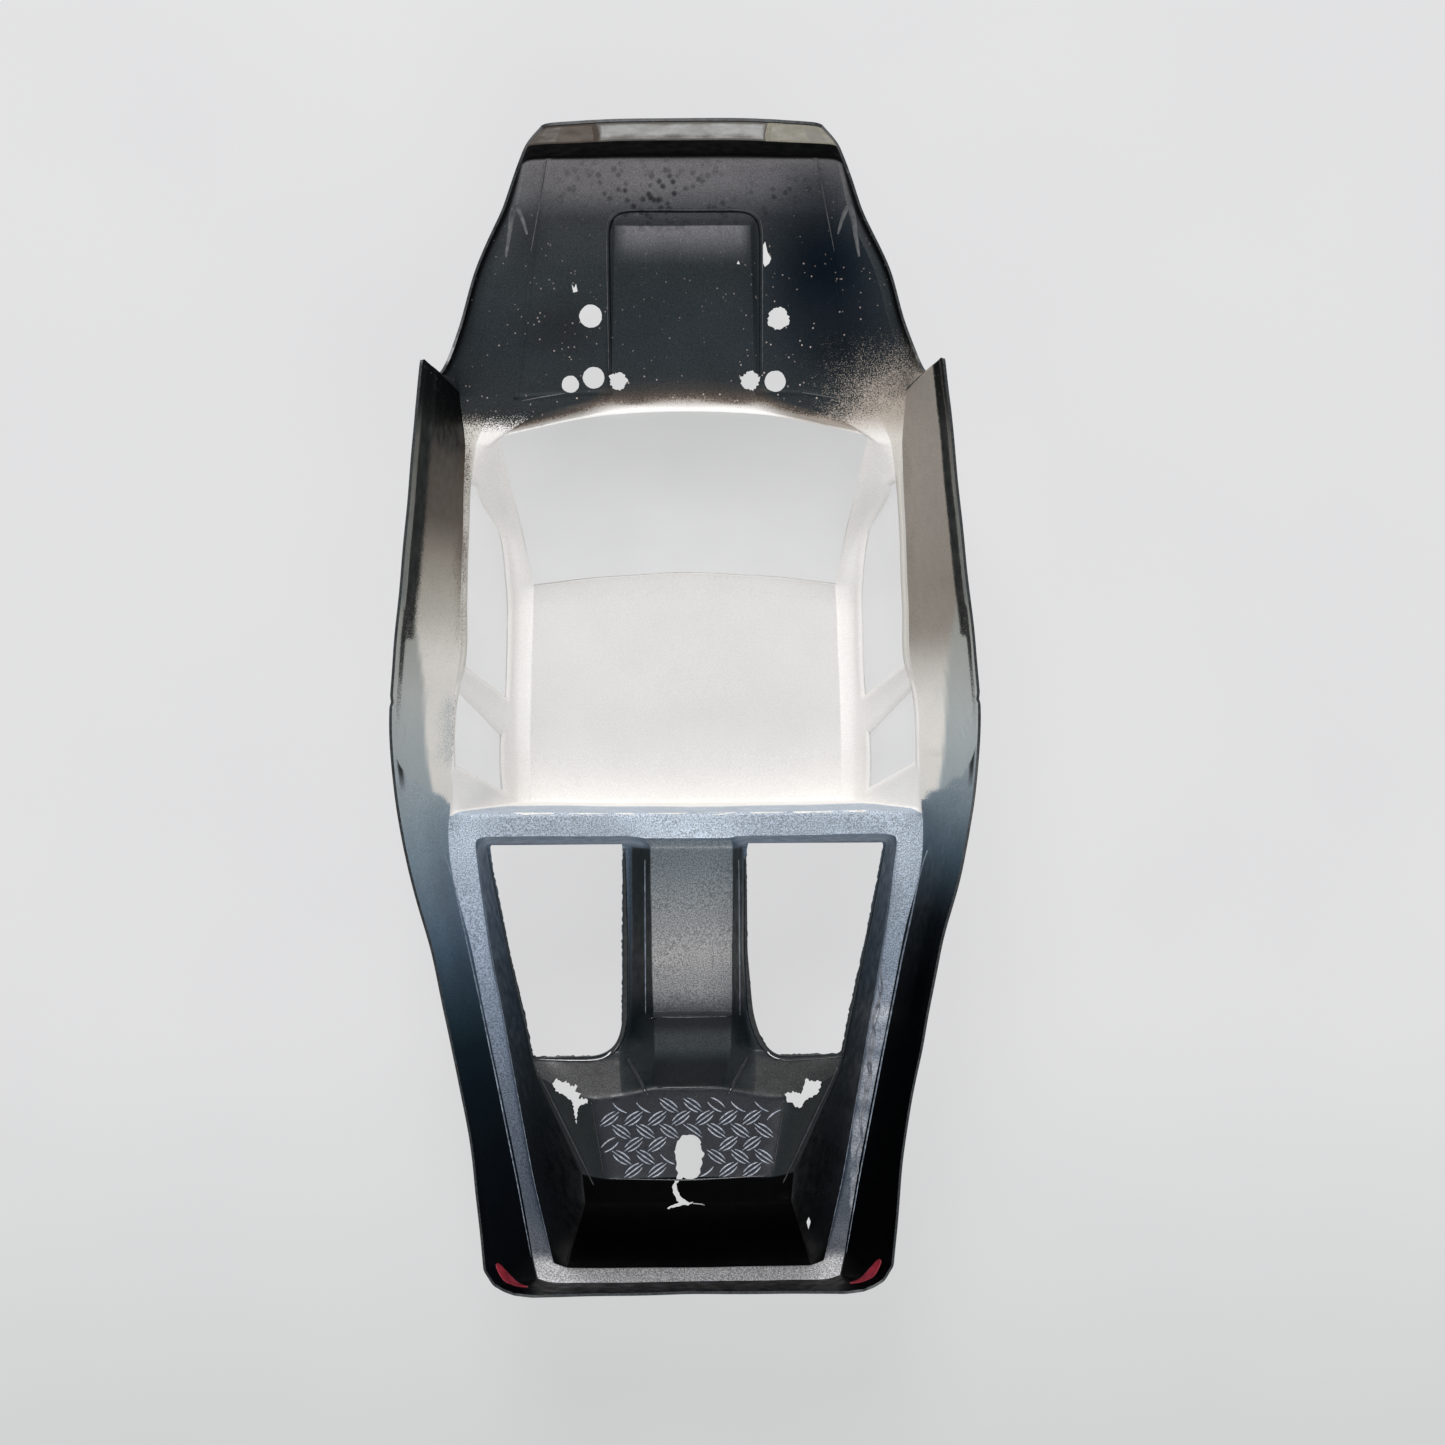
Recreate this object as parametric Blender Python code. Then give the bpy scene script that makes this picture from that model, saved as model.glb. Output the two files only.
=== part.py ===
"""Bare vacuum-formed body shell of a 1:10 radio-controlled pickup, lying on its roof.

One sheet of clear plastic about 1 mm thick is drawn over a mould, so the outside face is
given here as a lines plan (stations along the truck, each a half section) and the sheet is
thickened towards the inside. The sheet is split into named zones at its formed creases.
All dimensions are in millimetres until make_node scales them to metres.
Axes: +Z up out of the open underside, +Y to the nose, +X to the right, roof at z = 0.
"""
import bpy
import math
import numpy as np

for old in list(bpy.data.objects):
    bpy.data.objects.remove(old, do_unlink=True)

# ---------------------------------------------------------------- driving dimensions
wall = 1.0               # sheet thickness
seam = 0.20              # each zone stops this far short of the shared crease
roof_z = 0.0             # outside face of the roof, the face it lies on
belt_z = 48.5            # waist line of the cab
rail_z = 46.0            # top faces of the pickup bed sides
rocker_z = 105.0         # trimmed lower edge below the doors
cut_z = 70.0             # level of the trimmed edges of the two bed openings
floor_z = 85.0           # chequered floor at the back of the bed
sticker_gap = 0.30       # air under a sticker
sticker_wall = 0.20
post_hole_radius = 3.9   # reamed for 6 mm body posts
ymove = -0.41            # puts the middle of the length on y = 0

# Columns of every half section, from the trimmed rim to the centre line.
RIM, LIP, LOW, BELT, FRAME, SILL, HEAD, EDGE, INNER, OUT, CREST, MID = range(12)
last = 2 * MID


def station(x, y, z):
    """One half section: twelve x, twelve y (or one for all) and twelve z."""
    if not isinstance(y, list):
        y = [y] * 12
    return np.array([x, y, z], float).T


# ---------------------------------------------------------------- lines plan
names = []
half = []


def add(name, x, y, z):
    names.append(name)
    half.append(station(x, y, z))


add("nose_rim",
    [48.5, 47.9, 47.2, 46.2, 44.0, 41.0, 36.5, 30.2, 29.0, 27.0, 22.0, 0],
    [206.0, 206.3, 206.5, 206.7, 206.9, 207.1, 207.3, 207.6, 207.6, 207.7, 207.8, 208.0],
    [99.0, 99.3, 99.5, 99.7, 99.8, 99.9, 100, 100, 100, 100, 100, 100])
add("nose_fold",
    [55.5, 54.9, 54.0, 52.4, 49.5, 45.5, 39.5, 30.6, 29.4, 27.3, 24.0, 0],
    [204.6, 205.2, 205.6, 205.9, 206.1, 206.3, 206.5, 206.8, 206.8, 206.9, 207.0, 207.2],
    [80.0, 79.6, 79.3, 79.0, 79, 79, 79, 79, 79, 79, 79, 79])
add("hood_front",
    [59.8, 59.3, 58.5, 57.0, 54.0, 51.0, 48.6, 44.0, 37.0, 27.6, 25.2, 0],
    [200.5, 203.0, 204.6, 205.7, 206.0, 206.1, 206.2, 206.3, 206.4, 206.6, 206.6, 206.8],
    [67.0, 64.0, 62.4, 61.6, 61.3, 61.2, 61.1, 60.9, 60.7, 60.4, 60.4, 60.2])
add("hood_start",
    [61.4, 60.9, 60.0, 58.6, 56.0, 53.2, 50.6, 46.0, 38.0, 27.6, 25.3, 0],
    196.5,
    [66.0, 63.2, 61.0, 59.9, 59.6, 59.4, 59.2, 59.0, 58.7, 58.2, 58.1, 57.8])
add("scoop_lip",
    [65.0, 64.3, 63.1, 61.0, 58.5, 55.6, 52.9, 47.0, 38.0, 27.6, 25.4, 0],
    [186.5, 186.3, 186, 185.7, 185.5, 185.5, 185.5, 185.5, 185.5, 185.5, 185.5, 185.5],
    [64.5, 61.6, 59.2, 57.9, 57.6, 57.4, 57.2, 57.0, 56.7, 56.3, 56.2, 55.8])
add("scoop_face",
    [66.3, 65.6, 64.3, 62.0, 59.2, 56.0, 53.2, 47.1, 38.0, 27.7, 25.4, 0],
    [183.6, 183.5, 183.4, 183.3, 183.3, 183.3, 183.3, 183.3, 183.3, 183.3, 183.3, 183.3],
    [64.0, 61.2, 58.9, 57.6, 57.3, 57.1, 56.9, 56.7, 56.4, 56.0, 52.2, 51.6])
add("arch_top",
    [75.0, 74.3, 73.0, 70.6, 66.2, 60.6, 55.6, 48.0, 38.0, 28.2, 26.0, 0],
    165.0,
    [61.5, 59.2, 57.2, 55.7, 55.1, 54.8, 54.6, 54.2, 53.8, 53.2, 49.4, 48.6])
add("hood_middle",
    [80.4, 79.8, 78.5, 76.2, 71.0, 64.2, 58.3, 50.0, 38.5, 28.6, 26.6, 0],
    145.0,
    [62.8, 60.2, 57.7, 55.4, 53.1, 51.7, 51.0, 50.6, 50.2, 49.7, 46.7, 46.0])
add("arch_rear",
    [86.0, 85.7, 84.7, 82.2, 76.2, 68.2, 60.6, 52.0, 40.0, 29.0, 27.2, 0],
    129.0,
    [66.5, 63.2, 59.6, 56.0, 52.5, 50.0, 48.6, 48.0, 47.6, 47.2, 45.2, 44.7])
add("horn",
    [89.4, 88.7, 87.3, 83.0, 77.2, 69.2, 61.8, 53.0, 41.0, 29.2, 27.5, 0],
    [124.6, 124.2, 123.6, 120.5, 120.4, 120.6, 120.8, 121.3, 122.0, 122.8, 122.9, 123.4],
    [rocker_z, 99.0, 90.5, 50.0, 49.0, 48.1, 47.5, 47.0, 46.6, 46.2, 44.6, 44.2])
add("screen_base",
    [91.4, 90.6, 88.8, 81.6, 79.2, 76.6, 74.6, 72.6, 68.6, 30.0, 28.0, 0],
    [108.0, 108.0, 107.5, 104.0, 103.5, 103.3, 103.2, 103.5, 106.8, 114.6, 114.8, 116.1],
    [rocker_z, 99.0, 91.0, belt_z, 48.2, 47.9, 47.6, 47.3, 46.8, 45.0, 44.9, 44.6])
add("window_front",
    [92.6, 91.8, 90.0, 82.1, 80.8, 79.7, 77.6, 71.4, 66.0, 30.0, 28.0, 0],
    [95.0, 95.0, 94.5, 92.0, 91.0, 90.0, 89.2, 90.0, 93.1, 99.6, 99.7, 100.8],
    [rocker_z, 99.0, 91.0, belt_z, 46.6, 44.6, 39.8, 34.8, 34.7, 33.2, 33.2, 33.0])
add("window_brow",
    [94.8, 93.9, 92.0, 82.7, 81.7, 80.7, 71.0, 66.9, 61.9, 30.0, 28.0, 0],
    [72.0, 72.0, 72.0, 72.0, 72.0, 72.0, 73.0, 72.4, 72.3, 76.6, 76.7, 77.7],
    [rocker_z, 99.0, 91.0, belt_z, 46.4, 44.4, 20.0, 15.0, 16.3, 15.2, 15.2, 15.0])
add("roof_front",
    [96.6, 95.7, 93.8, 83.1, 82.1, 81.1, 69.0, 65.3, 59.5, 30.0, 28.0, 0],
    [53.0, 53.0, 53.0, 53.0, 53.0, 53.0, 51.5, 52.5, 55.0, 58.2, 58.3, 59.6],
    [rocker_z, 99.0, 91.0, belt_z, 46.3, 44.2, 10.8, 4.4, 1.6, 0.9, 0.9, 0.9])
add("roof_flat",
    [97.3, 96.4, 94.5, 83.3, 82.3, 81.3, 68.9, 65.6, 60.0, 30.0, 28.0, 0],
    [46.0, 46.0, 46.0, 46.0, 46.0, 46.0, 44.5, 46.0, 47.5, 50.0, 50.1, 51.0],
    [rocker_z, 99.0, 91.0, belt_z, 46.3, 44.2, 9.4, 3.2, roof_z, roof_z, roof_z, roof_z])
add("door_glass_rear",
    [99.4, 98.5, 96.5, 84.0, 83.1, 82.1, 70.0, 66.4, 61.0, 30.0, 28.0, 0],
    [24.0, 24.0, 24.0, 22.6, 22.1, 21.6, 10.0, 10.0, 10.0, 10.0, 10.0, 10.0],
    [rocker_z, 99.0, 91.0, belt_z, 46.5, 44.5, 9.8, 3.0, roof_z, roof_z, roof_z, roof_z])
add("quarter_glass_front",
    [100.7, 99.8, 97.8, 85.9, 85.2, 84.4, 71.5, 66.8, 61.5, 30.0, 28.0, 0],
    [5.0, 5.5, 7.0, 13.0, 12.8, 12.6, -3.9, -4.0, -4.0, -4.0, -4.0, -4.0],
    [rocker_z, 99.0, 91.0, belt_z, 47.0, 45.4, 12.8, 3.0, roof_z, roof_z, roof_z, roof_z])
add("quarter_glass_rear",
    [100.3, 99.4, 97.8, 87.4, 86.8, 86.1, 71.4, 66.9, 61.8, 30.0, 28.0, 0],
    [-12.0, -12.5, -13.0, -15.0, -15.0, -15.0, -26.0, -26.8, -27.0, -27.0, -27.0, -27.0],
    [rocker_z, 99.0, 91.0, belt_z, 47.3, 45.8, 12.2, 3.2, roof_z, roof_z, roof_z, roof_z])
add("roof_rear",
    [99.4, 98.3, 96.7, 88.2, 86.9, 85.2, 70.6, 67.0, 62.0, 30.0, 28.0, 0],
    [-26.5, -27.0, -28.0, -32.4, -32.4, -32.4, -31.6, -31.5, -31.7, -31.8, -31.8, -31.8],
    [100.8, 94.5, 86.0, 47.6, 46.7, 44.6, 12.0, 4.0, 0.9, 0.7, 0.7, 0.7])
add("rail_front",
    [98.5, 97.3, 95.5, 88.5, 83.4, 80.0, 75.2, 69.5, 62.5, 30.0, 28.0, 0],
    [-34.5, -34.5, -34.5, -34.4, -34.0, -33.8, -33.6, -33.5, -33.5, -33.5, -33.5, -33.5],
    [98.6, 92.0, 82.0, 46.3, rail_z, rail_z, rail_z, rail_z, rail_z, rail_z, rail_z, rail_z])
add("rail_inside",
    [97.5, 96.2, 94.2, 88.7, 80.2, 77.4, 73.8, 48.0, 23.0, 16.4, 8.0, 0],
    [-43.5, -43.5, -43.5, -43.0, -43.0, -42.6, -42.3, -42.3, -42.3, -42.5, -42.5, -42.5],
    [95.3, 89.0, 78.5, rail_z, rail_z, rail_z, 46.2, 46.2, 46.2, 46.3, 46.3, 46.3])
add("tub_front",
    [96.9, 95.6, 93.4, 88.5, 79.0, 76.8, 70.5, 47.0, 21.5, 15.8, 8.0, 0],
    [-47.5, -47.5, -47.5, -47.0, -47.5, -47.2, -43.8, -43.8, -43.8, -46.0, -46.0, -46.0],
    [94.0, 87.5, 77.0, rail_z, rail_z, 46.3, 68.0, 68.0, 68.0, 49.2, 49.2, 49.2])
add("tub_side",
    [90.1, 88.9, 86.0, 80.6, 74.7, 72.6, 63.4, 42.0, 21.5, 15.5, 8.0, 0],
    -81.0,
    [79.0, 74.5, 66.0, rail_z, rail_z, 46.4, cut_z, cut_z, cut_z, 49.5, 49.5, 49.5])
add("spine_end",
    [86.4, 85.2, 81.6, 75.8, 70.3, 68.3, 58.2, 40.0, 21.8, 15.2, 8.0, 0],
    [-105, -105, -105, -105, -105, -105, -105, -105, -105, -106.5, -106.5, -106.5],
    [71.0, 67.6, 60.0, rail_z, rail_z, 46.4, 71.8, 71.8, 71.8, 50.0, 50.0, 50.0])
add("tub_step",
    [84.4, 83.2, 79.4, 73.1, 67.9, 65.9, 55.2, 40.0, 24.5, 13.2, 7.0, 0],
    [-118.0, -118.0, -118.0, -118.4, -118.4, -118.4, -118.4, -118.4, -117.0, -116, -116, -116],
    [68.0, 65.2, 57.6, rail_z, rail_z, 46.5, 72.6, 72.6, 72.6, 66.0, 66.0, 66.0])
add("floor_front",
    [82.9, 81.7, 77.8, 71.5, 66.6, 64.6, 53.0, 33.2, 23.0, 11.8, 6.0, 0],
    [-126.0, -126.0, -126.0, -126.0, -126.0, -126.0, -125, -131.5, -130.5, -128, -128, -128],
    [67.0, 64.4, 57.0, rail_z, rail_z, 46.5, 73.2, floor_z, floor_z, floor_z, floor_z, floor_z])
add("floor_rear",
    [77.6, 76.4, 71.6, 65.0, 60.6, 58.7, 36.8, 28.9, 20.0, 11.5, 6.0, 0],
    [-159.0, -159.0, -159.0, -158.8, -158.8, -158.8, -158.8, -158.8, -158.8, -158.8, -158.8, -158.8],
    [66.2, 63.6, 56.6, rail_z, rail_z, 46.5, 78.4, floor_z, floor_z, floor_z, floor_z, floor_z])
add("tail_foot",
    [76.7, 75.4, 70.1, 63.2, 59.0, 57.1, 36.0, 28.0, 20.0, 11.5, 6.0, 0],
    [-168.0, -168.0, -168.0, -168.0, -168.0, -168.0, -168.4, -168.4, -168.4, -168.4, -168.4, -168.4],
    [66.8, 64.0, 56.8, rail_z, rail_z, 46.5, 79.4, 80.4, 80.6, 80.6, 80.6, 80.6])
add("rail_rear_inside",
    [73.4, 71.8, 66.2, 58.2, 52.6, 50.0, 45.0, 30.0, 20.0, 11.5, 6.0, 0],
    [-194.9, -195.0, -195.4, -196.4, -197.4, -199.0, -200.3, -200.4, -200.4, -200.4, -200.4, -200.4],
    [71.0, 67.6, 58.0, rail_z, rail_z, 46.2, 46.4, 46.4, 46.4, 46.4, 46.4, 46.4])
add("rail_rear",
    [69.1, 67.4, 62.4, 56.3, 52.4, 49.0, 44.6, 30.0, 20.0, 11.5, 6.0, 0],
    [-201.3, -201.8, -203.2, -205.0, -206.6, -207.0, -207.2, -207.4, -207.5, -207.5, -207.6, -207.6],
    [71.6, 68.2, 58.0, 46.2, 46.0, 46.0, 46.0, 46.0, 46.0, 46.0, 46.0, 46.0])
add("tail_rim",
    [62.8, 60.8, 58.6, 55.9, 52.2, 49.0, 44.6, 30.0, 20.0, 11.5, 6.0, 0],
    [-203.3, -203.6, -203.9, -204.2, -204.3, -204.4, -204.5, -204.6, -204.7, -204.8, -204.8, -204.8],
    [72.2, 72.2, 72.1, 72.0, 71.5, 71.2, 71.0, 70.6, 70.4, 70.2, 70.1, 70.0])

row = {name: index for index, name in enumerate(names)}
left = np.array(half) * np.array([-1, 1, 1])
right = np.array(half)[:, MID - 1::-1]
outside = np.concatenate([left, right], axis=1)
outside[:, :, 1] += ymove


# ---------------------------------------------------------------- mitred sheet normals
def face_normals(points):
    a = points[1:, 1:] - points[:-1, :-1]
    b = points[:-1, 1:] - points[1:, :-1]
    n = np.cross(a, b)
    return n / np.maximum(np.linalg.norm(n, axis=2, keepdims=True), 1e-9)


def mitred_normals(points):
    """Vertex directions scaled so that an offset of 1 moves every touching face by about 1."""
    faces = face_normals(points)
    rows, cols = points.shape[:2]
    total = np.zeros_like(points)
    touching = [[[] for _ in range(cols)] for _ in range(rows)]
    for i in range(rows - 1):
        for j in range(cols - 1):
            for di in (0, 1):
                for dj in (0, 1):
                    total[i + di, j + dj] += faces[i, j]
                    touching[i + di][j + dj].append(faces[i, j])
    for i in range(rows):
        for j in range(cols):
            unit = total[i, j] / np.linalg.norm(total[i, j])
            cosine = np.mean([unit @ n for n in touching[i][j]])
            total[i, j] = unit / max(cosine, 0.6)
    return total


normals = mitred_normals(outside)
inside = outside + wall * normals


# ---------------------------------------------------------------- zones of the sheet
def cells(row_a, row_b, col_a, col_b):
    """Cells between two named stations and two columns, counted over the whole width."""
    return {(i, j) for i in range(row[row_a], row[row_b]) for j in range(col_a, col_b)}


def on_side(side, row_a, row_b, col_a, col_b):
    """The same on one side: side -1 is left and +1 right; columns count from the rim."""
    if side < 0:
        return cells(row_a, row_b, col_a, col_b)
    return cells(row_a, row_b, last - col_b, last - col_a)


def across(row_a, row_b, col):
    """Cells between a column and its mirror image."""
    return cells(row_a, row_b, col, last - col)


def closed_sheet(low, high, quads):
    """Faces of a closed sheet: quads on both sides and a wall along every open edge."""
    count = len(low)
    faces = []
    border = {}
    for quad in quads:
        faces.append([count + n for n in quad])
        faces.append(list(reversed(quad)))
        for a, b in zip(quad, quad[1:] + quad[:1]):
            if (b, a) in border:
                del border[(b, a)]
            else:
                border[(a, b)] = quad
    faces += [[a, b, count + b, count + a] for a, b in border]
    return np.concatenate([low, high]), faces, border


def solid_of(zone):
    """Closed solid of one zone, drawn back from its border so that zones never touch."""
    used = sorted({(i + di, j + dj) for i, j in zone for di in (0, 1) for dj in (0, 1)})
    index = {at: n for n, at in enumerate(used)}
    quads = []
    for i, j in sorted(zone):
        quads.append([index[(i, j)], index[(i + 1, j)], index[(i + 1, j + 1)], index[(i, j + 1)]])
    low = np.array([outside[at] for at in used])
    high = np.array([inside[at] for at in used])
    border = closed_sheet(low, high, quads)[2]
    inward = {}
    for (a, b), quad in border.items():
        along = low[b] - low[a]
        along /= np.linalg.norm(along)
        middle = low[quad].mean(axis=0) - low[a]
        across_edge = middle - (middle @ along) * along
        across_edge /= np.linalg.norm(across_edge)
        inward.setdefault(a, []).append(across_edge)
        inward.setdefault(b, []).append(across_edge)
    for n, directions in inward.items():
        system = np.array(directions)
        pull = np.linalg.pinv(system, rcond=0.25) @ np.full(len(system), seam)
        size = np.linalg.norm(pull)
        pull *= min(1.0, 2.5 * seam / size)
        low[n] += pull
        high[n] += pull
    points, faces, _ = closed_sheet(low, high, quads)
    return points, faces


def strip_of(row_ends, col_ends, steps):
    """A thin sticker laid over part of the outside, given by station and column numbers."""
    rows = np.linspace(row_ends[0], row_ends[1], steps[0] + 1)
    cols = np.linspace(col_ends[0], col_ends[1], steps[1] + 1)
    grid = np.zeros((len(rows), len(cols), 3))
    for a, r in enumerate(rows):
        for b, c in enumerate(cols):
            i = min(int(r), outside.shape[0] - 2)
            j = min(int(c), outside.shape[1] - 2)
            s = r - i
            t = c - j
            near = outside[i, j] * (1 - t) + outside[i, j + 1] * t
            far = outside[i + 1, j] * (1 - t) + outside[i + 1, j + 1] * t
            grid[a, b] = near * (1 - s) + far * s
    out = mitred_normals(grid)
    near = grid - sticker_gap * out
    far = grid - (sticker_gap + sticker_wall) * out
    quads = []
    for a in range(len(rows) - 1):
        for b in range(len(cols) - 1):
            first = a * len(cols) + b
            quads.append([first, first + len(cols), first + len(cols) + 1, first + 1])
    points, faces, _ = closed_sheet(far.reshape(-1, 3), near.reshape(-1, 3), quads)
    return points, faces


# ---------------------------------------------------------------- materials and nodes
def colour(red, green, blue):
    """Linear colour from the usual 0 to 255 display values."""
    done = []
    for value in (red, green, blue):
        v = value / 255
        done.append(v / 12.92 if v <= 0.04045 else ((v + 0.055) / 1.055) ** 2.4)
    return (*done, 1.0)


def make_node(name, shape, display, rough=0.4, alpha=1.0):
    points, faces = shape
    mesh = bpy.data.meshes.new(name)
    mesh.from_pydata((points * 0.001).tolist(), [], faces)
    mesh.validate()
    mesh.update()
    made = bpy.data.objects.new(name, mesh)
    bpy.context.scene.collection.objects.link(made)
    material = bpy.data.materials.new(name + "_material")
    material.use_nodes = True
    shader = material.node_tree.nodes["Principled BSDF"]
    shader.inputs["Base Color"].default_value = colour(*display)
    shader.inputs["Roughness"].default_value = rough
    shader.inputs["Alpha"].default_value = alpha
    mesh.materials.append(material)
    return made


def cutter(name, x, y, radius, z_low, z_high, sides=28):
    """An upright drill, kept out of the render."""
    points = []
    for z in (z_low, z_high):
        for k in range(sides):
            turn = 2 * math.pi * k / sides
            points.append((x + radius * math.cos(turn), y + radius * math.sin(turn), z))
    faces = [list(range(sides))[::-1], list(range(sides, 2 * sides))]
    for k in range(sides):
        after = (k + 1) % sides
        faces.append([k, after, sides + after, sides + k])
    mesh = bpy.data.meshes.new(name)
    mesh.from_pydata((np.array(points) * 0.001).tolist(), [], faces)
    tool = bpy.data.objects.new(name, mesh)
    bpy.context.scene.collection.objects.link(tool)
    tool.hide_render = True
    tool.display_type = "WIRE"
    return tool


def drill(target, tool):
    cut = target.modifiers.new(tool.name, "BOOLEAN")
    cut.operation = "DIFFERENCE"
    cut.solver = "EXACT"
    cut.object = tool


black = (30, 34, 38)
grey_blue = (110, 122, 136)
white = (226, 225, 223)
clear = (235, 236, 236)
red = (165, 40, 48)
silver = (150, 148, 140)

make_node("nose_panel", solid_of(across("nose_rim", "hood_front", RIM)), black)
hood = make_node("hood_panel", solid_of(across("hood_front", "screen_base", HEAD)), black)
windscreen = across("screen_base", "roof_front", INNER)
make_node("windscreen", solid_of(windscreen), clear, rough=0.15, alpha=0.35)
make_node("roof_panel", solid_of(across("roof_front", "roof_rear", INNER)), white)
make_node("cab_back_wall", solid_of(across("roof_rear", "rail_front", BELT)), white)
make_node("bed_front_rail", solid_of(across("rail_front", "rail_inside", BELT)), grey_blue)
make_node("bed_front_wall", solid_of(across("rail_inside", "tub_front", SILL)), grey_blue)
make_node("bed_spine", solid_of(across("tub_front", "floor_front", INNER)), grey_blue)
floor = make_node("bed_floor", solid_of(across("floor_front", "floor_rear", EDGE)), (60, 64, 72))
make_node("tail_inner_slope", solid_of(across("tail_foot", "rail_rear_inside", HEAD)
                                       | across("floor_rear", "tail_foot", HEAD)), black)
make_node("bed_rear_rail", solid_of(across("rail_rear_inside", "rail_rear", BELT)), grey_blue)
make_node("tail_panel", solid_of(across("rail_rear", "tail_rim", RIM)), black)

for side, word in ((-1, "left"), (1, "right")):
    fender = on_side(side, "hood_front", "screen_base", BELT, HEAD)
    fender |= on_side(side, "hood_front", "horn", RIM, BELT)
    make_node(word + "_fender", solid_of(fender), black)
    door = on_side(side, "horn", "quarter_glass_front", RIM, BELT)
    make_node(word + "_door_panel", solid_of(door), (150, 148, 142))
    quarter = on_side(side, "quarter_glass_front", "rail_rear", RIM, BELT)
    make_node(word + "_quarter_panel", solid_of(quarter), (70, 84, 98))
    door_glass = on_side(side, "window_front", "door_glass_rear", SILL, HEAD)
    make_node(word + "_door_window", solid_of(door_glass), clear, rough=0.15, alpha=0.35)
    rear_glass = on_side(side, "quarter_glass_front", "quarter_glass_rear", SILL, HEAD)
    make_node(word + "_quarter_window", solid_of(rear_glass), clear, rough=0.15, alpha=0.35)
    frame = on_side(side, "screen_base", "roof_rear", BELT, INNER) - door_glass - rear_glass
    make_node(word + "_window_frame", solid_of(frame), white)
    rail = on_side(side, "rail_inside", "rail_rear_inside", BELT, SILL)
    make_node(word + "_bed_rail", solid_of(rail), grey_blue)
    bed_wall = on_side(side, "tub_front", "rail_rear_inside", SILL, HEAD)
    bed_wall |= on_side(side, "floor_front", "floor_rear", HEAD, EDGE)
    make_node(word + "_bed_wall", solid_of(bed_wall), (60, 72, 86))
    step = on_side(side, "tub_step", "floor_front", HEAD, INNER)
    make_node(word + "_bed_step", solid_of(step), (80, 80, 82))
    if side < 0:
        lamp = strip_of((28.35, 29.75), (0.35, 1.65), (4, 3))
        light = strip_of((0.12, 0.88), (0.8, 6.6), (2, 6))
    else:
        lamp = strip_of((28.35, 29.75), (last - 1.65, last - 0.35), (4, 3))
        light = strip_of((0.12, 0.88), (last - 6.6, last - 0.8), (2, 6))
    make_node(word + "_tail_light_sticker", lamp, red)
    make_node(word + "_headlight_sticker", light, silver)
make_node("grille_sticker", strip_of((0.12, 0.88), (8.2, last - 8.2), (2, 10)), silver)

# Body-post holes, x and y of each centre and its radius: two in front, five at the cowl.
post_holes = [
    (-34.0, 150.0, 4.2),
    (35.0, 149.0, 4.2),
    (-41.8, 125.6, 3.2),
    (-33.2, 128.0, post_hole_radius),
    (-24.2, 127.0, 3.5),
    (24.6, 127.2, 3.7),
    (33.9, 126.5, post_hole_radius),
]
for number, (x, y, radius) in enumerate(post_holes, 1):
    drill(hood, cutter("post_drill_%d" % number, x, y + ymove, radius, 35, 60))
drill(floor, cutter("floor_tear_drill", 0.8, -149.5 + ymove, 5.0, 78, 92))
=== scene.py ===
"""Looks for a bare vacuum-formed pickup body shell that lies on its roof, seen from straight above.

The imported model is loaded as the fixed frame. One fine sheet is laid over the same lines plan, in
millimetres, with the formed radii, seams, trimmed edges, torn holes and sprayed paint of the real
shell, and it stands for the plain zones of the frame.
"""
import math

import bpy
import numpy as np
from mathutils import Matrix, Vector
from mathutils.bvhtree import BVHTree
from mathutils.kdtree import KDTree


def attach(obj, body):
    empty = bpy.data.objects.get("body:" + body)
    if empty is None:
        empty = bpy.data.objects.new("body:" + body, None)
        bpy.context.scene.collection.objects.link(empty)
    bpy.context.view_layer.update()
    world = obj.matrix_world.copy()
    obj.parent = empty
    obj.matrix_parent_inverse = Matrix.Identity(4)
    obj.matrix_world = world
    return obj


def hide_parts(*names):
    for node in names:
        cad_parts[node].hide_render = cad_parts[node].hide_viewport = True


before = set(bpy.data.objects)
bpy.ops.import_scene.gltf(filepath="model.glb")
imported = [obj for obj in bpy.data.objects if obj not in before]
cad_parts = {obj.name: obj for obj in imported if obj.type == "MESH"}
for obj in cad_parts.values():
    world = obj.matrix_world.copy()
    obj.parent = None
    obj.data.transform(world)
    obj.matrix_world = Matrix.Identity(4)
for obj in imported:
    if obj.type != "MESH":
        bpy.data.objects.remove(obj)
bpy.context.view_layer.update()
rng = np.random.default_rng(7)

# ------------------------------------------------------------------ driving dimensions, mm
# Heights are measured up from the table, on which the roof lies.
wall = 1.0
roof_z = 0.0
belt_z = 48.5
rail_z = 46.0
rocker_z = 105.0
cut_z = 70.0
floor_z = 85.0
ymove = -0.41     # the plan is drawn this far ahead of the frame's middle

# Columns of the plan, from the trimmed edge of the sheet to the middle of the truck.
RIM, LIP, LOW, BELT, FRAME, SILL, HEAD, EDGE, INNER, OUT, CREST, MID = range(12)
last = 2 * MID
names = []
half = []


def twelve(values):
    """Twelve values, filled up with the last one."""
    values = values if isinstance(values, list) else [values]
    return values + [values[-1]] * (MID + 1 - len(values))


def add(name, x, y, z):
    """One station of the lines plan, from the rim (first value) to the middle (last value)."""
    names.append(name)
    half.append(np.array([twelve(x), twelve(y), twelve(z)], float).T)


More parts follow.
